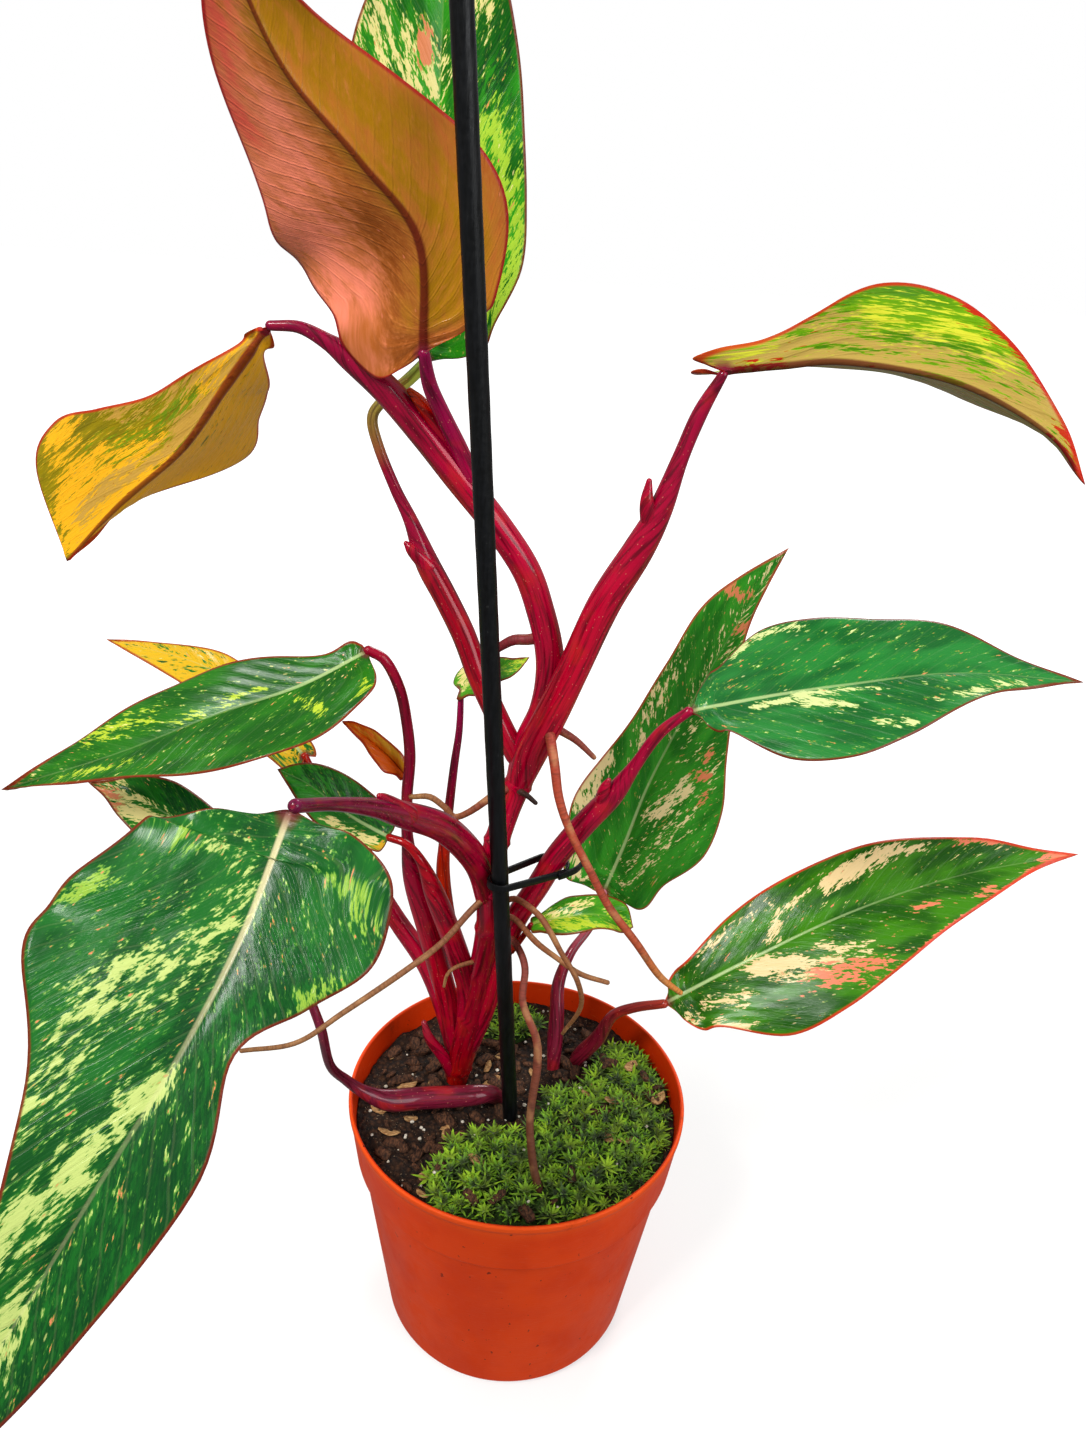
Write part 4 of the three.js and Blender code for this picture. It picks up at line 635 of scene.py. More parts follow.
def stem_look(name, seed):
    """Glossy petiole: lengthwise streaks, red blotches, small pale specks."""
    look = Look(name, {"Coat Weight": 0.45, "Coat Roughness": 0.1, "Specular IOR Level": 0.08})
    grain = look.add("VectorMath", {0: look.value("grain"), 1: (seed, seed, 0)}, operation="ADD")
    tint = look.value("tint", "Color")
    streak = look.noise(look.scaled(grain, (0.06, 1.1, 1)), detail=3)
    blotch = look.noise(look.scaled(grain, (0.08, 0.12, 1)), detail=2)
    speck = look.rise(look.cells(look.scaled(grain, (0.5, 0.9, 1)), 1.0), 0.06, 0.14, 0.55, 0)
    colour = look.add("HueSaturation", {"Saturation": 1.1, "Value": 1.5, "Color": tint})
    colour = look.cover(colour, "30020a", streak, 0.42, 0.68, 0, 0.72)
    colour = look.cover(colour, "c82814", blotch, 0.52, 0.72, 0, 0.35)
    colour = look.mix(speck, colour, "e08c70")
    roughness = look.rise(blotch, 0.3, 0.7, 0.24, 0.36)
    look.bump(look.math("ADD", streak, look.math("MULTIPLY", speck, 0.4)), 0.0002, 0.5)
    return look.finish(colour, roughness)


def root_look():
    """Aerial root: matt, finely ringed and speckled."""
    look = Look("root", {"Specular IOR Level": 0.35})
    grain = look.value("grain")
    tint = look.value("tint", "Color")
    ring = look.noise(look.scaled(grain, (1.6, 0.3, 1)), detail=3)
    blotch = look.noise(look.scaled(grain, (0.12, 0.2, 1)), detail=2)
    colour = look.mix(look.rise(ring, 0.4, 0.7, 0, 0.5), tint, "4a2618")
    colour = look.cover(colour, "c99560", blotch, 0.5, 0.7, 0, 0.4)
    look.bump(ring, 0.0003, 0.8)
    return look.finish(colour, look.rise(ring, 0.3, 0.7, 0.45, 0.7))


def pot_look():
    """Moulded plastic: slight mottling, smudges of mix, fine scuffs round the wall, a painted highlight
    near the top and painted shade inside.
    """
    look = Look("pot_plastic", {"Specular IOR Level": 0.08})
    place = look.millimetres()
    _, _, height = look.parts(place)
    mottle = look.noise(place, 0.05, 4)
    smudge = look.noise(look.scaled(place, (1, 1, 0.6)), 0.09, 6, 0.7)
    scuff = look.noise(look.scaled(place, (0.5, 0.5, 3.0)), 0.5, 3)
    colour = look.mix(look.rise(mottle, 0.35, 0.65), "dc3c08", "e6440a")
    # Painted highlight: a lighter orange over the top of the band and rim, where the light falls.
    colour = look.cover(colour, "ec6428", height, 90, 97.5, 0, 0.35)
    # Painted shade: a darker orange on the inside of the wall.
    colour = look.cover(colour, "c02c04", look.value("inner", "Fac"), 0.3, 0.8, 0, 0.85)
    colour = look.cover(colour, "ee9468", scuff, 0.64, 0.72, 0, 0.1)
    dirt = look.math("MULTIPLY", look.rise(smudge, 0.6, 0.76, 0, 0.45), look.rise(height, 60, 96))
    colour = look.mix(dirt, colour, "541c0a")
    fleck = look.noise(look.scaled(place, (1, 1, 0.7)), 0.5, 3)
    colour = look.cover(colour, "2c0f08", fleck, 0.69, 0.73, 0, 0.75)
    look.bump(look.math("ADD", mottle, look.math("MULTIPLY", scuff, 0.3)), 0.0004, 0.5)
    return look.finish(colour, look.rise(smudge, 0.4, 0.7, 0.36, 0.5))


def mix_look():
    """Potting mix: dark crumbs of several browns with pale grit."""
    look = Look("potting_mix", {"Specular IOR Level": 0.25})
    place = look.millimetres()
    crumb = look.cells(place, 0.55)
    shade = look.noise(place, 0.35, 5, 0.7)
    grit = look.noise(place, 1.6, 2)
    colour = look.mix(look.rise(shade, 0.35, 0.7), "0e0806", "301c10")
    colour = look.cover(colour, "5a3a24", crumb, 0.1, 0.6, 0.5, 0)
    colour = look.cover(colour, "b89c7c", grit, 0.67, 0.73, 0, 0.85)
    look.bump(look.math("ADD", shade, look.math("MULTIPLY", crumb, -0.8)), 0.0016)
    return look.finish(colour, look.rise(shade, 0.3, 0.7, 0.75, 0.95))


def bit_look(name, light, dark, stretch, roughness):
    """Bark, white grit or a dead scrap of leaf: two tones along a grain."""
    look = Look(name, {"Specular IOR Level": 0.25})
    place = look.scaled(look.millimetres(), stretch)
    grain = look.noise(place, 1.0, 4, 0.65)
    tint = look.mix(look.rise(grain, 0.35, 0.68), dark, light)
    colour = look.mix(look.rise(look.noise(place, 0.3), 0.55, 0.7, 0, 0.4), tint, "1c110a")
    look.bump(grain, 0.0006)
    return look.finish(colour, look.rise(grain, 0.3, 0.7, roughness - 0.1, roughness))


def moss_look():
    """Star moss: each leaflet from a dark foot, partly its own colour and partly painted shade, to a bright
    tip, yellower in places.
    """
    look = Look("moss_leaflets", {"Specular IOR Level": 0.3, "Sheen Weight": 0.1})
    place = look.millimetres()
    tip, shade, _ = look.parts(look.value("leaflet"))
    # Dark foot to bright tip: partly the moss's own colour, partly painted shade down in the cushion.
    colour = look.mix(look.rise(tip, 0.1, 1.0), "061a04", "78b010")
    colour = look.mix(look.math("MULTIPLY", look.math("POWER", shade, 2.0), 0.7), colour, "a8cc24")
    colour = look.cover(colour, "1c2a08", look.noise(place, 0.14, 3), 0.48, 0.64, 0, 0.85)
    look.bump(look.noise(place, 2.0), 0.0002)
    return look.finish(colour, look.rise(shade, 0, 1, 0.5, 0.7))


def moss_floor_look():
    """Dark ground between the shoots of moss."""
    look = Look("moss_floor", {"Specular IOR Level": 0.2})
    place = look.millimetres()
    grain = look.noise(place, 0.8, 5, 0.7)
    colour = look.mix(look.rise(grain, 0.35, 0.65), "1c1a0a", "35551a")
    look.bump(grain, 0.0015)
    return look.finish(colour, look.rise(grain, 0.3, 0.7, 0.8, 0.95))


def black_look(name, scale):
    """Satin black plastic with fine scratches and dust."""
    look = Look(name, {"Specular IOR Level": 0.25})
    place = look.millimetres()
    scratch = look.noise(look.scaled(place, (3.0, 3.0, 0.15)), scale, 4)
    dust = look.noise(place, 0.6, 4, 0.7)
    colour = look.mix(look.rise(scratch, 0.35, 0.7), "040506", "0c0e11")
    colour = look.cover(colour, "6a6a68", dust, 0.68, 0.76, 0, 0.3)
    look.bump(scratch, 0.0002, 0.6)
    return look.finish(colour, look.rise(dust, 0.3, 0.7, 0.28, 0.5))


def new_object(name, data):
    obj = bpy.data.objects.new(name, data)
    bpy.context.scene.collection.objects.link(obj)
    return obj


def new_mesh(name, points, faces):
    """Mesh from points in millimetres."""
    mesh = bpy.data.meshes.new(name)
    mesh.from_pydata((np.asarray(points, float) / 1000).tolist(), [], faces)
    return mesh


def moved(faces, count):
    """Faces that stand for points further on in a list."""
    return [tuple(corner + count for corner in face) for face in faces]


def skin(rows, size, capped=True):
    """Faces between rows of points that each run round, with a cap on both ends."""
    faces = []
    for i in range(rows - 1):
        for j in range(size):
            a, b = i * size + j, i * size + (j + 1) % size
            faces.append((a, b, b + size, a + size))
    if capped:
        last = (rows - 1) * size
        faces += [tuple(range(size))[::-1], tuple(range(last, last + size))]
    return faces


def catmull(points, shares, closed=False):
    """Points of the plain Catmull-Rom curve through points, at shares 0 to 1 of its parameter."""
    points = np.asarray(points, float)
    if closed:
        points = np.vstack([points[-1:], points, points[:2]])
    else:
        points = np.vstack([2 * points[0] - points[1], points, 2 * points[-1] - points[-2]])
    spans = len(points) - 3
    place = np.clip(shares, 0, 1) * spans
    index = np.minimum(place.astype(int), spans - 1)
    t = (place - index)[..., None]
    a, b, c, d = (points[index + i] for i in range(4))
    start, end = (c - a) / 2, (d - b) / 2
    return b + t * (start + t * (3 * (c - b) - 2 * start - end + t * (2 * (b - c) + start + end)))


class Line:
    """Curve through points, measured along its length."""

    def __init__(self, points, steps=240):
        self.points = points
        self.steps = np.linspace(0, 1, steps + 1)
        track = catmull(points, self.steps)[:, :3]
        lengths = np.concatenate([[0], np.cumsum(np.linalg.norm(np.diff(track, axis=0), axis=1))])
        self.length = lengths[-1]
        self.shares = lengths / self.length

    def at(self, share):
        return catmull(self.points, np.interp(np.clip(share, 0, 1), self.shares, self.steps))


def unit(vectors):
    return vectors / np.maximum(np.linalg.norm(vectors, axis=-1, keepdims=True), 1e-12)


def along(values, share):
    return np.interp(np.clip(share, 0, 1), np.linspace(0, 1, len(values)), values)


def lumps(x, y, size, seed):
    """Smooth random bumps from -1 to 1, about one size apart."""
    grid = np.random.default_rng(seed).uniform(-1, 1, (LUMP_GRID, LUMP_GRID))
    u, v = np.asarray(x) / size, np.asarray(y) / size
    i, j = np.floor(u).astype(int), np.floor(v).astype(int)
    fu, fv = u - i, v - j
    fu, fv = fu * fu * (3 - 2 * fu), fv * fv * (3 - 2 * fv)

    def corner(di, dj):
        return grid[(i + di) % LUMP_GRID, (j + dj) % LUMP_GRID]

    low = corner(0, 0) * (1 - fu) + corner(1, 0) * fu
    high = corner(0, 1) * (1 - fu) + corner(1, 1) * fu
    return low * (1 - fv) + high * fv


def piece(name, points, faces, looks, nodes=(), looks_of=None, values=None):
    """Mesh piece from points in millimetres. It rides on the root and stands for CAD nodes."""
    mesh = new_mesh(name, points, faces)
    mesh.polygons.foreach_set("use_smooth", [True] * len(mesh.polygons))
    for look in looks:
        mesh.materials.append(look)
    if looks_of is not None:
        mesh.polygons.foreach_set("material_index", np.asarray(looks_of, np.int32))
    for key, array in (values or {}).items():
        array = np.asarray(array, np.float32)
        if array.ndim == 1:
            kind, field = "FLOAT", "value"
        elif array.shape[1] == 3:
            kind, field = "FLOAT_VECTOR", "vector"
        else:
            kind, field = "FLOAT_COLOR", "color"
        mesh.attributes.new(key, kind, "POINT").data.foreach_set(field, array.ravel())
    mesh.validate()
    obj = new_object(name, mesh)
    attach(obj, "root")
    if nodes:
        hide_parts(*nodes)
    return obj


def half_outline(leaf, half):
    """Outline of one half of a blade, from the petiole round the base lobe to the tip."""
    widths, lobe = leaf[("right", "left")[half]], leaf["lobes"][half]
    shoulder = 0.02 - lobe * (0.45 if lobe > 0 else 1.2)
    base = [(-0.55 * lobe, 0.24 * widths[0]), (-lobe, 0.56 * widths[0]), (shoulder, 0.86 * widths[0])]
    stations = leaf.get("stations", STATIONS)
    return [(0, 0), *base, *zip(stations, widths), (1, 0)]


def sheet_normals(points, quads):
    """Smooth normals of a sheet of quads."""
    a, b, c, d = (points[quads[:, i]] for i in range(4))
    normal = np.cross(c - a, d - b)
    total = np.zeros_like(points)
    for i in range(4):
        np.add.at(total, quads[:, i], normal)
    return unit(total)


def stroke_masks(name, x, y, width, length):
    """How strongly each tone shows at places x along and y across a blade, in millimetres."""
    masks = np.zeros((len(TONES), *x.shape))
    strokes = [(TONES.index(tone), *stroke) for tone, group in STROKES[name].items() for stroke in group]
    for row, t0, v0, t1, v1, radius, strength in strokes:
        for part in np.linspace(0, 1, STROKE_STEPS):
            t, v = t0 + (t1 - t0) * part, v0 + (v1 - v0) * part
            away = np.hypot(x - t * length, y - v * width(t, v)) / radius
            masks[row] = np.maximum(masks[row], strength * np.clip(1.3 - away, 0, 1))
    return masks


def blade_sheet(leaf, midrib, t, place):
    """Middle surface of a blade, on a grid of shares t along and places across (-1 to 1).

    Gives grids of its points, distance across, share along, upper side and half width, then the
    shares at which the side veins leave the midrib, and the outlines of the right and left half.
    """
    stations = [share * (1 - VEIN_LEAD) for share in leaf.get("stations", STATIONS)]
    roots = catmull([(share, 0) for share in (*FIRST_VEINS, *stations, 1)], t)[:, :1]
    outlines = [catmull(half_outline(leaf, half), t) for half in (0, 1)]
    part = np.abs(place) ** EDGE_CROWDING
    span = leaf.get("heading", HEADING_SPAN)
    halves = []
    for half, edge in enumerate(outlines):
        share = roots + (edge[:, :1] - roots) * part ** VEIN_SWEEP
        across = np.maximum(edge[:, 1:], 0) * part
        held = np.clip(share, 0, 1)
        forward = unit(midrib.at(np.minimum(held + span, 1)) - midrib.at(np.maximum(held - span, 0)))
        point = midrib.at(held) + forward * (np.minimum(share, 0) * midrib.length)[..., None]
        up = catmull(leaf["faces"], held)
        up = unit(up - forward * np.sum(up * forward, axis=-1, keepdims=True))
        side = np.cross(forward, up) * (1 if half == 0 else -1)
        fold = np.radians(along(leaf["fold"][half], share))
        bend = math.radians(leaf["curl"][half] or 0.001) / CURL_WIDTH
        out = (np.sin(fold + bend * across) - np.sin(fold)) / bend
        rise = (np.cos(fold) - np.cos(fold + bend * across)) / bend
        point = point + side * out[..., None] + up * rise[..., None]
        halves.append((point, across, share, up, np.broadcast_to(edge[:, 1:], across.shape)))
    right = place >= 0
    sheet = [np.where(right[:, None] if one.ndim == 3 else right, one, other)
             for one, other in zip(*halves)]
    return sheet, roots, outlines


def leaf_looks(name, seed):
    """Materials of the upper and the under side of a blade."""
    palette = PALETTES.get(name, GREEN)
    if name in UNDERSIDE_SEEN:
        above, below = dict(GREEN, edge=palette["edge"]), palette
    else:
        above = palette
        below = {key: blended(code, "a8b878", 0.4) for key, code in palette.items()}
    fine = SOFTER.get(name, SOFTNESS), MARGINS.get(name, 1.0), RIB_FADES.get(name, RIB_FADE)
    return [leaf_look(name + "_upper", above, seed, False, *fine),
            leaf_look(name + "_under", below, seed, True, *fine)]


def leaf_piece(name, leaf, seed):
    """Blade with both faces, a sunken midrib above, a raised one below, and a waved margin."""
    midrib = Line(leaf["midrib"])
    rows, columns = LARGE_GRID if midrib.length > LARGE_LEAF else SMALL_GRID
    t = np.linspace(0, 1, rows + 1)
    place = np.arange(-columns, columns + 1) / columns
    sheet, roots, outlines = blade_sheet(leaf, midrib, t, place)

    # The first and the last row are one point each.
    wide = len(place)
    ids = np.arange((rows + 1) * wide).reshape(rows + 1, wide)
    ids[0], ids[-1] = ids[0, columns], ids[-1, columns]
    used, compact = np.unique(ids, return_inverse=True)
    compact = compact.reshape(ids.shape)
    quads = np.stack([compact[:-1, :-1], compact[:-1, 1:], compact[1:, 1:], compact[1:, :-1]],
                     axis=-1).reshape(-1, 4)

    def flat(grid):
        """Values at the points in use, of a grid that may have one row or one column only."""
        return np.broadcast_to(grid, (*ids.shape, *grid.shape[2:])).reshape(-1, *grid.shape[2:])[used]

    def width_at(share_at, v):
        return np.interp(share_at, t, outlines[0 if v >= 0 else 1][:, 1])

    middle, across, share, up, width = (flat(grid) for grid in sheet)
    row, roots, part = flat(t[:, None]), flat(roots), flat(np.abs(place[None]) ** EDGE_CROWDING)
    signed = across * np.sign(flat(place[None]))
    rim = width * (1 - part)
    normal = sheet_normals(middle, quads)
    if np.sum(normal * up) < 0:
        quads = quads[:, ::-1]
        normal = -normal

    # Relief: pillows between the side veins, a waved margin, lumps, and the midrib.
    length = row * midrib.length
    belly = 4 * part * (1 - part)
    vein_slant = VEIN_SLANTS.get(name, VEIN_SLANT)
    stretch = math.hypot(1, vein_slant)
    vein_start = (0.5 * row + 0.5 * roots) * midrib.length
    vein_start = (vein_start - vein_slant * across * np.clip(4 * row - 0.6, 0, 1)) / stretch
    pillow = PILLOW_RISE * np.cos(2 * math.pi * vein_start / SIDE_VEIN_STEP) * belly
    wave = WAVE_RISE * np.sin(2 * math.pi * length / MARGIN_WAVE + seed) * part ** 4
    wave *= np.clip(width.max() / FULL_WAVE_WIDTH, 0.25, 1) * np.clip(6 * (1 - row), 0, 1)
    lump = LUMP_RISE * lumps(length + 90, signed + 90, LUMP_STEP, seed) * belly
    body = middle + normal * (pillow + wave + lump)[:, None]
    taper = np.clip(1 - share, 0.05, 1) ** 0.6
    size = np.clip(midrib.length / 150, 0.35, 1)
    groove = -GROOVE_DEPTH * size * np.exp(-(across / GROOVE_WIDTH) ** 2) * taper
    ridge = RIDGE_RISE * size * np.exp(-(across / (GROOVE_WIDTH * size + 0.2)) ** 2) * taper
    thick = BLADE / 2 * np.clip(rim / 0.8, 0.35, 1)
    top = body + normal * (thick + groove)[:, None]
    bottom = body - normal * (thick + ridge)[:, None]

    count = len(body)
    faces = [list(dict.fromkeys(quad)) for quad in quads.tolist()]
    under = [[corner + count for corner in reversed(face)] for face in faces]
    loop = [*compact[:, 0], *compact[-2:0:-1, -1]]
    rim_faces = [(a, b, b + count, a + count) for a, b in zip(loop, loop[1:] + loop[:1])]
    masks = stroke_masks(name, length, signed, width_at, midrib.length)
    values = {
        "vein": np.tile(np.stack([vein_start, signed * stretch, part], axis=1), (2, 1)),
        "place": np.tile(np.stack([rim, across, share], axis=1), (2, 1)),
        "tone": np.tile(masks.T, (2, 1)),
    }
    looks_of = [0] * len(faces) + [1] * len(under) + [0] * len(rim_faces)
    obj = piece(name + "_blade", np.vstack([top, bottom]), faces + under + rim_faces,
                leaf_looks(name, seed), [name], looks_of, values)
    shell = bmesh.new()
    shell.from_mesh(obj.data)
    bmesh.ops.recalc_face_normals(shell, faces=shell.faces)
    shell.to_mesh(obj.data)
    shell.free()


def tube(route, sides, colours, scars, seam):
    """Round stem along a route, with ring scars and a seam: points, faces, and its tint and grain."""
    length = Line([point[:3] for point in route]).length
    rings = max(6, round(length / STEM_STEP))
    track = catmull(route, np.linspace(0, 1, rings + 1))
    centre, radius = track[:, :3], np.maximum(track[:, 3], THINNEST_STEM)
    tangent = unit(np.gradient(centre, axis=0))
    distance = np.concatenate([[0], np.cumsum(np.linalg.norm(np.diff(centre, axis=0), axis=1))])
    for height, extra in scars:
        radius = radius + extra * np.exp(-((centre[:, 2] - height) / SCAR_WIDTH) ** 2)
    turn = np.linspace(0.3, math.pi / 2, CAP_RINGS + 1)[:CAP_RINGS]
    caps = [(centre[0] - tangent[0] * radius[0] * math.cos(a), radius[0] * math.sin(a)) for a in turn]
    ends = [(centre[-1] + tangent[-1] * radius[-1] * math.cos(a), radius[-1] * math.sin(a))
            for a in turn[::-1]]
    centre = np.vstack([[point for point, _ in caps], centre, [point for point, _ in ends]])
    radius = np.concatenate([[r for _, r in caps], radius, [r for _, r in ends]])
    tangent = np.vstack([[tangent[0]] * CAP_RINGS, tangent, [tangent[-1]] * CAP_RINGS])
    distance = np.concatenate([[0] * CAP_RINGS, distance, [distance[-1]] * CAP_RINGS])
    side = unit(np.cross((0.3, 1, 0.2), tangent[0]))
    turns = np.arange(sides) / sides * 2 * math.pi
    ring_points, grain = [], []
    for i in range(len(centre)):
        side = unit(side - tangent[i] * np.dot(side, tangent[i]))
        other = np.cross(tangent[i], side)
        thick = np.clip((radius[i] - 2.6) / 1.2, 0, 1)
        spread = (turns - SEAM_TURN + math.pi) % (2 * math.pi) - math.pi
        fold = seam * thick * sum(height * np.exp(-((spread - place) / width) ** 2)
                                  for place, height, width in SEAM_FOLDS)
        reach = (radius[i] + fold)[:, None]
        spokes = np.cos(turns)[:, None] * side + np.sin(turns)[:, None] * other
        ring_points.append(centre[i] + reach * spokes)
        grain += [(distance[i], turn * radius[i], radius[i]) for turn in turns]
    points = np.concatenate(ring_points)
    faces = skin(len(centre), sides)
    codes = np.array([linear(code) for code in colours.split()])
    share = distance / distance[-1]
    tint = np.stack([along(codes[:, i], share) for i in range(3)], axis=1)
    tint = np.repeat(np.hstack([tint, np.ones((len(tint), 1))]), sides, axis=0)
    return points, faces, tint, np.array(grain)


def stems(name, routes, looks):
    """All the stems of one node as one piece; roots get the second look."""
    points, faces, tints, grains, looks_of = [], [], [], [], []
    count = 0
    for route_name, (colours, route) in routes.items():
        root = route_name.startswith("root")
        widest = max(point[3] for point in route)
        sides = THICK_SIDES if widest > THICK_STEM else THIN_SIDES
        scars = RING_SCARS if route_name == "main_stem" else ()
        seam = 1.0 if route_name.startswith("to_") and widest > SEAM_STEM else 0.0
        new_points, new_faces, tint, grain = tube(route, sides, colours, scars, seam)
        points.append(new_points)
        faces += moved(new_faces, count)
        tints.append(tint)
        grains.append(grain)
        looks_of += [1 if root else 0] * len(new_faces)
        count += len(new_points)
    values = {"tint": np.concatenate(tints), "grain": np.concatenate(grains)}
    return piece(name + "_fine", np.concatenate(points), faces, looks, [name], looks_of, values)


def lathe(profile, sides):
    """Closed solid from a profile of radius and height that starts and ends on the axis."""
    turns = np.arange(sides) / sides * 2 * math.pi
    inner = profile[1:-1]
    points = [(r * math.cos(turn), r * math.sin(turn), z) for r, z in inner for turn in turns]
    faces = skin(len(inner), sides, capped=False)
    first, last = len(points), len(points) + 1
    points += [(0, 0, profile[0][1]), (0, 0, profile[-1][1])]
    top = (len(inner) - 1) * sides
    for j in range(sides):
        after = (j + 1) % sides
        faces += [(first, after, j), (last, top + j, top + after)]
    return points, faces


def rounded(profile, radius):
    """Profile with its corners rounded by short arcs."""
    profile = [np.array(point, float) for point in profile]
    result = [profile[0]]
    for before, corner, after in zip(profile, profile[1:], profile[2:]):
        reach = min(radius, np.linalg.norm(corner - before) / 2.2, np.linalg.norm(after - corner) / 2.2)
        start = corner + unit(before - corner) * reach
        end = corner + unit(after - corner) * reach
        for t in np.linspace(0, 1, 5):
            result.append((1 - t) ** 2 * start + 2 * t * (1 - t) * corner + t * t * end)
    return [tuple(point) for point in result + [profile[-1]]]


def pot():
    """Nursery pot with rounded edges, a rolled rim, a band and drain holes."""
    outside = [(0, 0), (CENTRE_DISC, 0), (CENTRE_DISC + 1.5, BASE_RECESS),
               (FOOT_INNER - 1.5, BASE_RECESS), (FOOT_INNER, 0), (FOOT_OUTER, 0),
               (BASE_RADIUS, BASE_RECESS), (BODY_RADIUS, BAND_FOOT - 1), (BAND_RADIUS, BAND_FOOT),
               (RIM_RADIUS - 0.45, POT_HEIGHT - 3), (RIM_RADIUS, POT_HEIGHT - 2),
               (RIM_RADIUS, POT_HEIGHT - 0.4), (RIM_RADIUS - 0.4, POT_HEIGHT)]
    inside = [(RIM_RADIUS - POT_WALL, POT_HEIGHT), (BAND_RADIUS - POT_WALL, BAND_FOOT + 1),
              (BODY_RADIUS - POT_WALL, BAND_FOOT - 1), (BASE_RADIUS - POT_WALL, FLOOR_TOP + POT_WALL),
              (BASE_RADIUS - 2 * POT_WALL, FLOOR_TOP), (0, FLOOR_TOP)]
    points, faces = lathe(rounded(outside + inside, POT_ROUNDING), POT_SIDES)
    obj = piece("pot_fine", points, faces, [pot_look()], ["pot"])
    drill_points, drill_faces = [], []
    for i in range(DRAINS):
        turn = i / DRAINS * 2 * math.pi
        new_points, new_faces = lathe([(0, DRILL_FROM), (DRAIN_RADIUS, DRILL_FROM),
                                       (DRAIN_RADIUS, DRILL_TO), (0, DRILL_TO)], DRILL_SIDES)
        shift = np.array([DRAIN_CIRCLE * math.cos(turn), DRAIN_CIRCLE * math.sin(turn), 0])
        count = len(drill_points)
        drill_points += [tuple(np.array(point) + shift) for point in new_points]
        drill_faces += moved(new_faces, count)
    drill = new_object("drill", new_mesh("drill", drill_points, drill_faces))
    cut = obj.modifiers.new("drains", "BOOLEAN")
    cut.operation, cut.solver, cut.object = "DIFFERENCE", "EXACT", drill
    bpy.context.view_layer.update()
    whole = obj.evaluated_get(bpy.context.evaluated_depsgraph_get())
    obj.data = bpy.data.meshes.new_from_object(whole)
    obj.modifiers.clear()
    bpy.data.objects.remove(drill)
    places = np.array([vertex.co for vertex in obj.data.vertices]) * 1000
    radius = np.hypot(places[:, 0], places[:, 1])
    wall = np.interp(places[:, 2], [0, BAND_FOOT - 1, BAND_FOOT, POT_HEIGHT],
                     [BASE_RADIUS, BODY_RADIUS, BAND_RADIUS, RIM_RADIUS])
    # Points on the inside of the wall, which the pot's look darkens as painted shade.
    inner = ((radius < wall - POT_WALL * 0.6) & (places[:, 2] > FLOOR_TOP - 0.5)).astype(np.float32)
    obj.data.attributes.new("inner", "FLOAT", "POINT").data.foreach_set("value", inner)
    return obj


def soil_height(x, y):
    """Smooth, slightly uneven top of the mix."""
    return (SOIL_TOP + 0.5 * np.sin(x * 0.17 + y * 0.11) + 0.4 * np.sin(x * 0.31 - y * 0.23 + 1.3)
            + 0.3 * np.sin(y * 0.41 + 0.6))


def crumbs(x, y):
    """Height of the crumbs over the smooth top of the mix."""
    return 0.7 * lumps(x + 99, y + 99, 3.1, 3) + 0.5 * lumps(x + 99, y + 99, 1.5, 4)


def soil():
    """Crumbly top of the mix, closed down to the floor of the pot."""
    edge = np.interp(SOIL_TOP, [BAND_FOOT + 1, POT_HEIGHT],
                     [BAND_RADIUS - POT_WALL, RIM_RADIUS - POT_WALL]) - 0.35
    floor = FLOOR_TOP + SOIL_CLEARANCE
    profile = [(0, floor), (BASE_RADIUS - 2 * POT_WALL - SOIL_CLEARANCE, floor),
               (BASE_RADIUS - POT_WALL - SOIL_CLEARANCE, FLOOR_TOP + POT_WALL),
               (BODY_RADIUS - POT_WALL - SOIL_CLEARANCE, BAND_FOOT - 1),
               (BAND_RADIUS - POT_WALL - SOIL_CLEARANCE, BAND_FOOT + 1)]
    profile += [(edge * part, SOIL_TOP) for part in np.linspace(1, 0, SOIL_RINGS)]
    points, faces = lathe(profile, SOIL_SIDES)
    points = np.array(points)
    top = points[:, 2] > SOIL_TOP - 1
    x, y = points[top, 0], points[top, 1]
    points[top, 2] = soil_height(x, y) + crumbs(x, y)
    return piece("soil_fine", points, faces, [mix_look()], ["soil"])


def pebble():
    """Points and faces of a ball with 42 points."""
    ball = bmesh.new()
    bmesh.ops.create_icosphere(ball, subdivisions=2, radius=1)
    points = np.array([vertex.co for vertex in ball.verts])
    faces = [tuple(vertex.index for vertex in face.verts) for face in ball.faces]
    ball.free()
    return points, faces


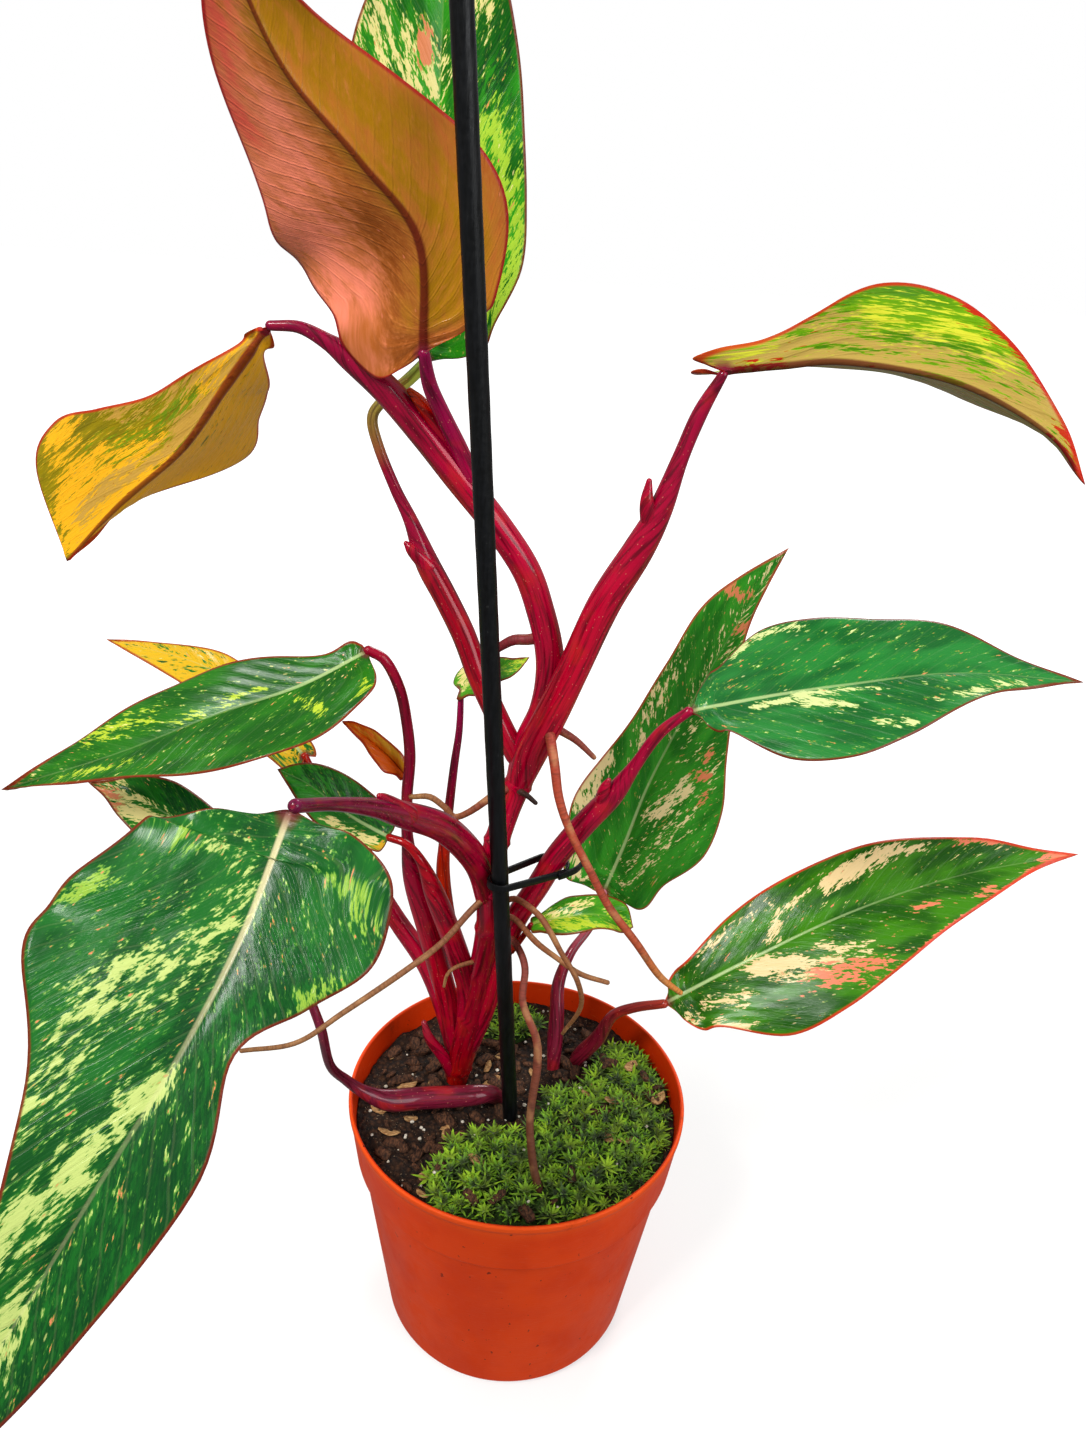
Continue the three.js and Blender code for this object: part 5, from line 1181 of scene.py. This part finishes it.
def bits():
    """Bark chips, white grit and dead scraps on the mix."""
    rng = np.random.default_rng(11)
    ball, ball_faces = pebble()
    points, faces, looks_of = [], [], []
    moss_right = catmull(MOSS_RIGHT, np.linspace(0, 1, 120), closed=True)
    for look, (amount, (small, large), (broad, flat)) in enumerate(BITS):
        made = 0
        while made < amount:
            turn, far = rng.uniform(0, 2 * math.pi), BITS_REACH * math.sqrt(rng.uniform())
            x, y = far * math.cos(turn), far * math.sin(turn)
            on_moss = inside(moss_right, x, y)
            if on_moss and rng.uniform() < KEPT_OFF_MOSS:
                continue
            made += 1
            size = rng.uniform(small, large) / 2
            shape = np.sign(ball) * np.abs(ball) ** (0.62 if look == BARK else 0.9)
            shape = shape * (1 + rng.uniform(-0.16, 0.16, ball.shape))
            shape = shape * np.array([size, size * broad, max(size * flat, 0.22)])
            if look == SCRAP:
                shape[:, 2] += 0.25 * shape[:, 0] ** 2 / size
            spin = Matrix.Rotation(rng.uniform(0, ANY_TURN), 3, "Z") @ Matrix.Rotation(
                rng.uniform(-0.35, 0.35), 3, "X") @ Matrix.Rotation(rng.uniform(-0.3, 0.3), 3, "Y")
            floor_height = moss_height(0.5, x, y) + 0.8 if on_moss else soil_height(x, y)
            lift = floor_height + size * flat * 0.5 + 0.3
            count = len(points) * len(ball)
            points.append(shape @ np.array(spin).T + np.array([x, y, lift]))
            faces += moved(ball_faces, count)
            looks_of += [look] * len(ball_faces)
    looks = [bit_look("bark", "64402a", "1e100a", (1.4, 0.5, 2.0), 0.9),
             bit_look("grit", "ece6d8", "b0a48e", (1, 1, 1), 0.85),
             bit_look("dead_scrap", "c9a06a", "8a5c34", (0.6, 1.6, 1), 0.8)]
    return piece("soil_bits", np.concatenate(points), faces, looks, (), looks_of)


def inside(outline, x, y):
    """Whether a point seen from above lies inside a closed outline."""
    crossings = 0
    for (ax, ay), (bx, by) in zip(outline[:-1, :2], outline[1:, :2]):
        if (ay > y) != (by > y) and x < ax + (y - ay) / (by - ay) * (bx - ax):
            crossings += 1
    return crossings % 2 == 1


def moss_height(share, x, y):
    """Top of a cushion's floor; share goes from 0 in its middle to 1 at its edge."""
    lump = 0.9 * np.sin(x * 0.55) * np.cos(y * 0.5) + 0.5 * np.sin(x * 0.9 + y * 1.1)
    return SOIL_TOP + MOSS_DEPTH * (1 - 0.45 * share) + lump - 1.2


def moss_floor(outline, loop, seed):
    """Rows of points of a cushion's lumpy floor, from its foot to its middle."""
    centre = np.mean(np.asarray(outline, float), axis=0)
    rows = []
    for share in [1, *np.linspace(0.97, 0.04, MOSS_ROWS)]:
        x, y = (centre + (loop - centre) * share).T
        height = moss_height(share, x, y) + 0.8 * lumps(x + 80, y + 80, 2.2, seed)
        if share > 0.95:
            height = np.minimum(height, SOIL_TOP + 1.0)
        rows.append(np.column_stack([x, y, height]))
    foot = np.column_stack([loop, np.full(len(loop), SOIL_TOP - 3.0)])
    return [foot, *rows]


def moss_shoot(foot, tall, lean, rng):
    """Star of leaflets in tiers; each has a root, two sides round a keel, and a tip."""
    leaflets = []
    up = unit(np.array([*lean, 1.0]))
    for number, climb, reach in MOSS_TIERS:
        start = rng.uniform(0, ANY_TURN)
        for k in range(number):
            turn = start + k / number * 2 * math.pi
            out = np.array([math.cos(turn), math.sin(turn), 0])
            ahead = unit(out * math.cos(climb) + up * math.sin(climb))
            wide = unit(np.cross(ahead, up)) * 0.5 * tall
            root = foot + up * 1.6 * climb
            long = reach * tall * rng.uniform(0.85, 1.1)
            mid = root + ahead * long * 0.42
            tip = root + ahead * long + np.array([0, 0, -0.25])
            leaflets.append([root, mid - wide, mid - up * 0.2, mid + wide, tip])
    return leaflets


def moss(name, outline, seed):
    """Cushion with a lumpy floor and star-shaped shoots of pointed leaflets."""
    rng = np.random.default_rng(seed)
    loop = catmull(outline, np.linspace(0, 1, MOSS_SIDES, endpoint=False), closed=True)
    rows = moss_floor(outline, loop, seed)
    ring = np.vstack([loop, loop[:1]])
    low, high = loop.min(axis=0), loop.max(axis=0)
    leaflets, shades = [], []
    for gx in np.arange(low[0], high[0], MOSS_STEP):
        for gy in np.arange(low[1], high[1], MOSS_STEP):
            x, y = gx + rng.uniform(-1, 1) * MOSS_STEP / 2, gy + rng.uniform(-1, 1) * MOSS_STEP / 2
            if not inside(ring, x, y):
                continue
            away = np.linalg.norm(loop - (x, y), axis=1).min()
            share = 1 - min(away / MOSS_SLOPE, 1)
            foot = np.array([x, y, moss_height(share, x, y) + rng.uniform(-0.6, 0.4)])
            tall, shade = rng.uniform(0.65, 1.3), rng.uniform()
            tall *= np.clip((RIM_RADIUS - 2 - math.hypot(x, y)) / 6, 0.35, 1)
            shoot = moss_shoot(foot, tall, rng.uniform(-0.5, 0.5, 2), rng)
            leaflets += shoot
            shades += [shade] * len(shoot)
    floor_points = np.concatenate(rows)
    faces = skin(len(rows), len(loop))
    looks_of = [1] * len(faces) + [0] * len(LEAFLET_FACES) * len(leaflets)
    for i in range(len(leaflets)):
        faces += moved(LEAFLET_FACES, len(floor_points) + i * len(LEAFLET_TIPNESS))
    tipness = np.tile(LEAFLET_TIPNESS, len(leaflets))
    shade = np.repeat(shades, len(LEAFLET_TIPNESS))
    leaflet = np.column_stack([tipness, shade, np.zeros(len(shade))])
    return piece(name + "_fine", np.vstack([floor_points, np.reshape(leaflets, (-1, 3))]), faces,
                 [MOSS_LOOK, MOSS_FLOOR_LOOK], [name], looks_of,
                 {"leaflet": np.vstack([np.zeros((len(floor_points), 3)), leaflet])})


def stake():
    """Rod with a rounded top and a pointed foot, with slight moulding waves."""
    foot, top = np.array(STAKE_FOOT, float), np.array(STAKE_TOP, float)
    length = np.linalg.norm(top - foot)
    profile = [(0, 0), (STAKE_RADIUS * 0.4, 1.5), (STAKE_RADIUS, STAKE_POINT)]
    heights = np.arange(STAKE_POINT + STAKE_STEP, length - 4, STAKE_STEP)
    profile += [(STAKE_RADIUS - STAKE_WAVE * (i % 2), height) for i, height in enumerate(heights)]
    profile += [(STAKE_RADIUS, length - 2), (STAKE_RADIUS * 0.88, length - 1),
                (STAKE_RADIUS * 0.6, length - 0.3), (0, length)]
    points, faces = lathe(profile, STAKE_SIDES)
    turn = np.array(Vector((0, 0, 1)).rotation_difference(Vector(top - foot)).to_matrix())
    points = np.array(points) @ turn.T + foot
    return piece("stake_fine", points, faces, [black_look("stake_black", 0.5)], ["stake"])


def band(path, ups, closed):
    """Flat band with rounded edges along a path; `ups` is the way its height points."""
    count = len(path)
    if closed:
        tangent = unit(np.roll(path, -1, axis=0) - np.roll(path, 1, axis=0))
    else:
        tangent = unit(np.gradient(path, axis=0))
    a, b = TIE_THICKNESS / 2, TIE_HEIGHT / 2
    c, d = a - TIE_BEVEL[0], b - TIE_BEVEL[1]
    section = [(c, b), (a, d), (a, -d), (c, -b), (-c, -b), (-a, -d), (-a, d), (-c, b)]
    size = len(section)
    side = unit(np.cross(ups, tangent))
    points = np.concatenate([path[i] + np.array([side[i] * a + ups[i] * b for a, b in section])
                             for i in range(count)])
    if not closed:
        return points, skin(count, size)
    faces = skin(count + 1, size, capped=False)
    return points, [tuple(corner % len(points) for corner in face) for face in faces]


def tie():
    """Band round the stake and a petiole, with a loose tail that droops a little."""
    start, end = np.array(TIE_STAKE_CENTRE, float), np.array(TIE_PETIOLE_CENTRE, float)
    distance = np.linalg.norm(end - start)
    forward = unit(end - start)
    side = unit(np.cross((0, 0, 1), forward))
    up = np.cross(forward, side)
    near, far = TIE_STAKE_RADIUS + TIE_THICKNESS / 2, TIE_PETIOLE_RADIUS + TIE_THICKNESS / 2
    lean = math.asin((far - near) / distance)
    plan = [(near * math.cos(a), near * math.sin(a))
            for a in np.linspace(math.pi / 2 + lean, 1.5 * math.pi - lean, 24)]
    plan += [(distance + far * math.cos(a), far * math.sin(a))
             for a in np.linspace(-math.pi / 2 - lean, math.pi / 2 + lean, 32)]
    path = np.array([start + forward * a + side * b for a, b in plan])
    points, faces = band(path, np.tile(up, (len(path), 1)), True)
    tail_plan = [(distance - 2, -far - 0.9), (distance + 2, -far - 0.9), (distance + 6, -far - 0.5),
                 (distance + TIE_TAIL, -far + 0.6)]
    tail = catmull([start + forward * a + side * b + up * c for (a, b), c in
                    zip(tail_plan, (0, 0, 0.3, 0.9))], np.linspace(0, 1, 16))
    tail_points, tail_faces = band(tail, np.tile(up, (len(tail), 1)), False)
    faces += moved(tail_faces, len(points))
    return piece("tie_fine", np.vstack([points, tail_points]), faces, [black_look("tie_black", 1.0)],
                 ["tie"])


MOSS_LOOK, MOSS_FLOOR_LOOK = moss_look(), moss_floor_look()
STEM_LOOKS = [stem_look("petiole", 0), root_look()]
SHOOT_LOOKS = [stem_look("shoot", 40), STEM_LOOKS[1]]

pot()
soil()
bits()
moss("moss_right", MOSS_RIGHT, 5)
moss("moss_back", MOSS_BACK, 6)
stake()
tie()
stems("stem_clump", CLUMP, STEM_LOOKS)
stems("shoot_right_back", SHOOT_RIGHT_BACK, SHOOT_LOOKS)
stems("shoot_right_low", SHOOT_RIGHT_LOW, SHOOT_LOOKS)
stems("shoot_left_low", SHOOT_LEFT_LOW, SHOOT_LOOKS)
for number, (leaf_name, leaf) in enumerate(LEAVES.items()):
    leaf_piece(leaf_name, leaf, number + 1)

# Plain pale floor, which throws no light back up at the pot and leaves.
floor_mesh = bpy.data.meshes.new("floor")
floor_corners = [(x * FLOOR_HALF, y * FLOOR_HALF, 0) for x, y in ((-1, -1), (1, -1), (1, 1), (-1, 1))]
floor_mesh.from_pydata(floor_corners, [], [(0, 1, 2, 3)])
floor = new_object("floor", floor_mesh)
floor_look = Look("floor", {"Specular IOR Level": 0.1, "Emission Color": (1, 1, 1, 1)})
floor_tone = floor_look.noise(floor_look.millimetres(), 0.002, 1)
far_off = floor_look.add("VectorMath", {0: floor_look.millimetres()}, "Value", operation="LENGTH")
floor_look.join(floor_look.shader.inputs["Emission Strength"],
                floor_look.rise(far_off, FLOOR_GLOW_FROM, FLOOR_GLOW_TO, *FLOOR_GLOW))
floor_mesh.materials.append(floor_look.finish(
    floor_look.cover("b0b0ae", "b6b6b5", floor_tone, 0.3, 0.7), 0.8))
floor.visible_diffuse = floor.visible_glossy = False

# Soft studio light: a surround brighter overhead, a key light from the upper left, a low fill.
world = bpy.context.scene.world or bpy.data.worlds.new("studio")
bpy.context.scene.world = world
world.use_nodes = True
background = world.node_tree.nodes["Background"]
background.inputs["Color"].default_value = (1, 1, 1, 1)
sky = Nodes(world.node_tree)
height = sky.parts(sky.add("TexCoord", {}, "Generated"))[2]
levels = zip(("From Min", "From Max", "To Min", "To Max"), (*SKY_HEIGHTS, *WORLD_LIGHT))
glow = sky.add("MapRange", {"Value": height, **dict(levels)})
seen = sky.add("LightPath", {}, "Is Camera Ray")
sky.join(background.inputs["Strength"], sky.add("MapRange", {"Value": seen, "To Min": glow}))
bpy.context.scene.view_settings.view_transform = "Standard"

for name, place, target, size, power, colour in LIGHTS:
    light = bpy.data.lights.new(name, "AREA")
    light.size, light.energy, light.color = size, power, colour
    obj = new_object(name, light)
    obj.location = place
    obj.rotation_euler = (Vector(target) - Vector(place)).to_track_quat("-Z", "Y").to_euler()

# Camera, level with the photograph's angle and slightly rolled.
pitch, roll = math.radians(CAMERA_PITCH), math.radians(CAMERA_ROLL)
ahead = Vector((0, math.cos(pitch), -math.sin(pitch)))
level_right, level_down = Vector((1, 0, 0)), Vector((0, -math.sin(pitch), -math.cos(pitch)))
right = level_right * math.cos(roll) + level_down * math.sin(roll)
down = level_down * math.cos(roll) - level_right * math.sin(roll)
camera_data = bpy.data.cameras.new("camera")
camera_data.lens, camera_data.sensor_width = CAMERA_LENS, SENSOR_WIDTH
camera_data.clip_start = 0.01
camera_data.dof.use_dof = False
camera = new_object("camera", camera_data)
columns = [right, -down, -ahead]
camera.matrix_world = Matrix([[*(column[i] for column in columns), CAMERA_PLACE[i] / 1000]
                              for i in range(3)] + [[0, 0, 0, 1]])
bpy.context.scene.camera = camera
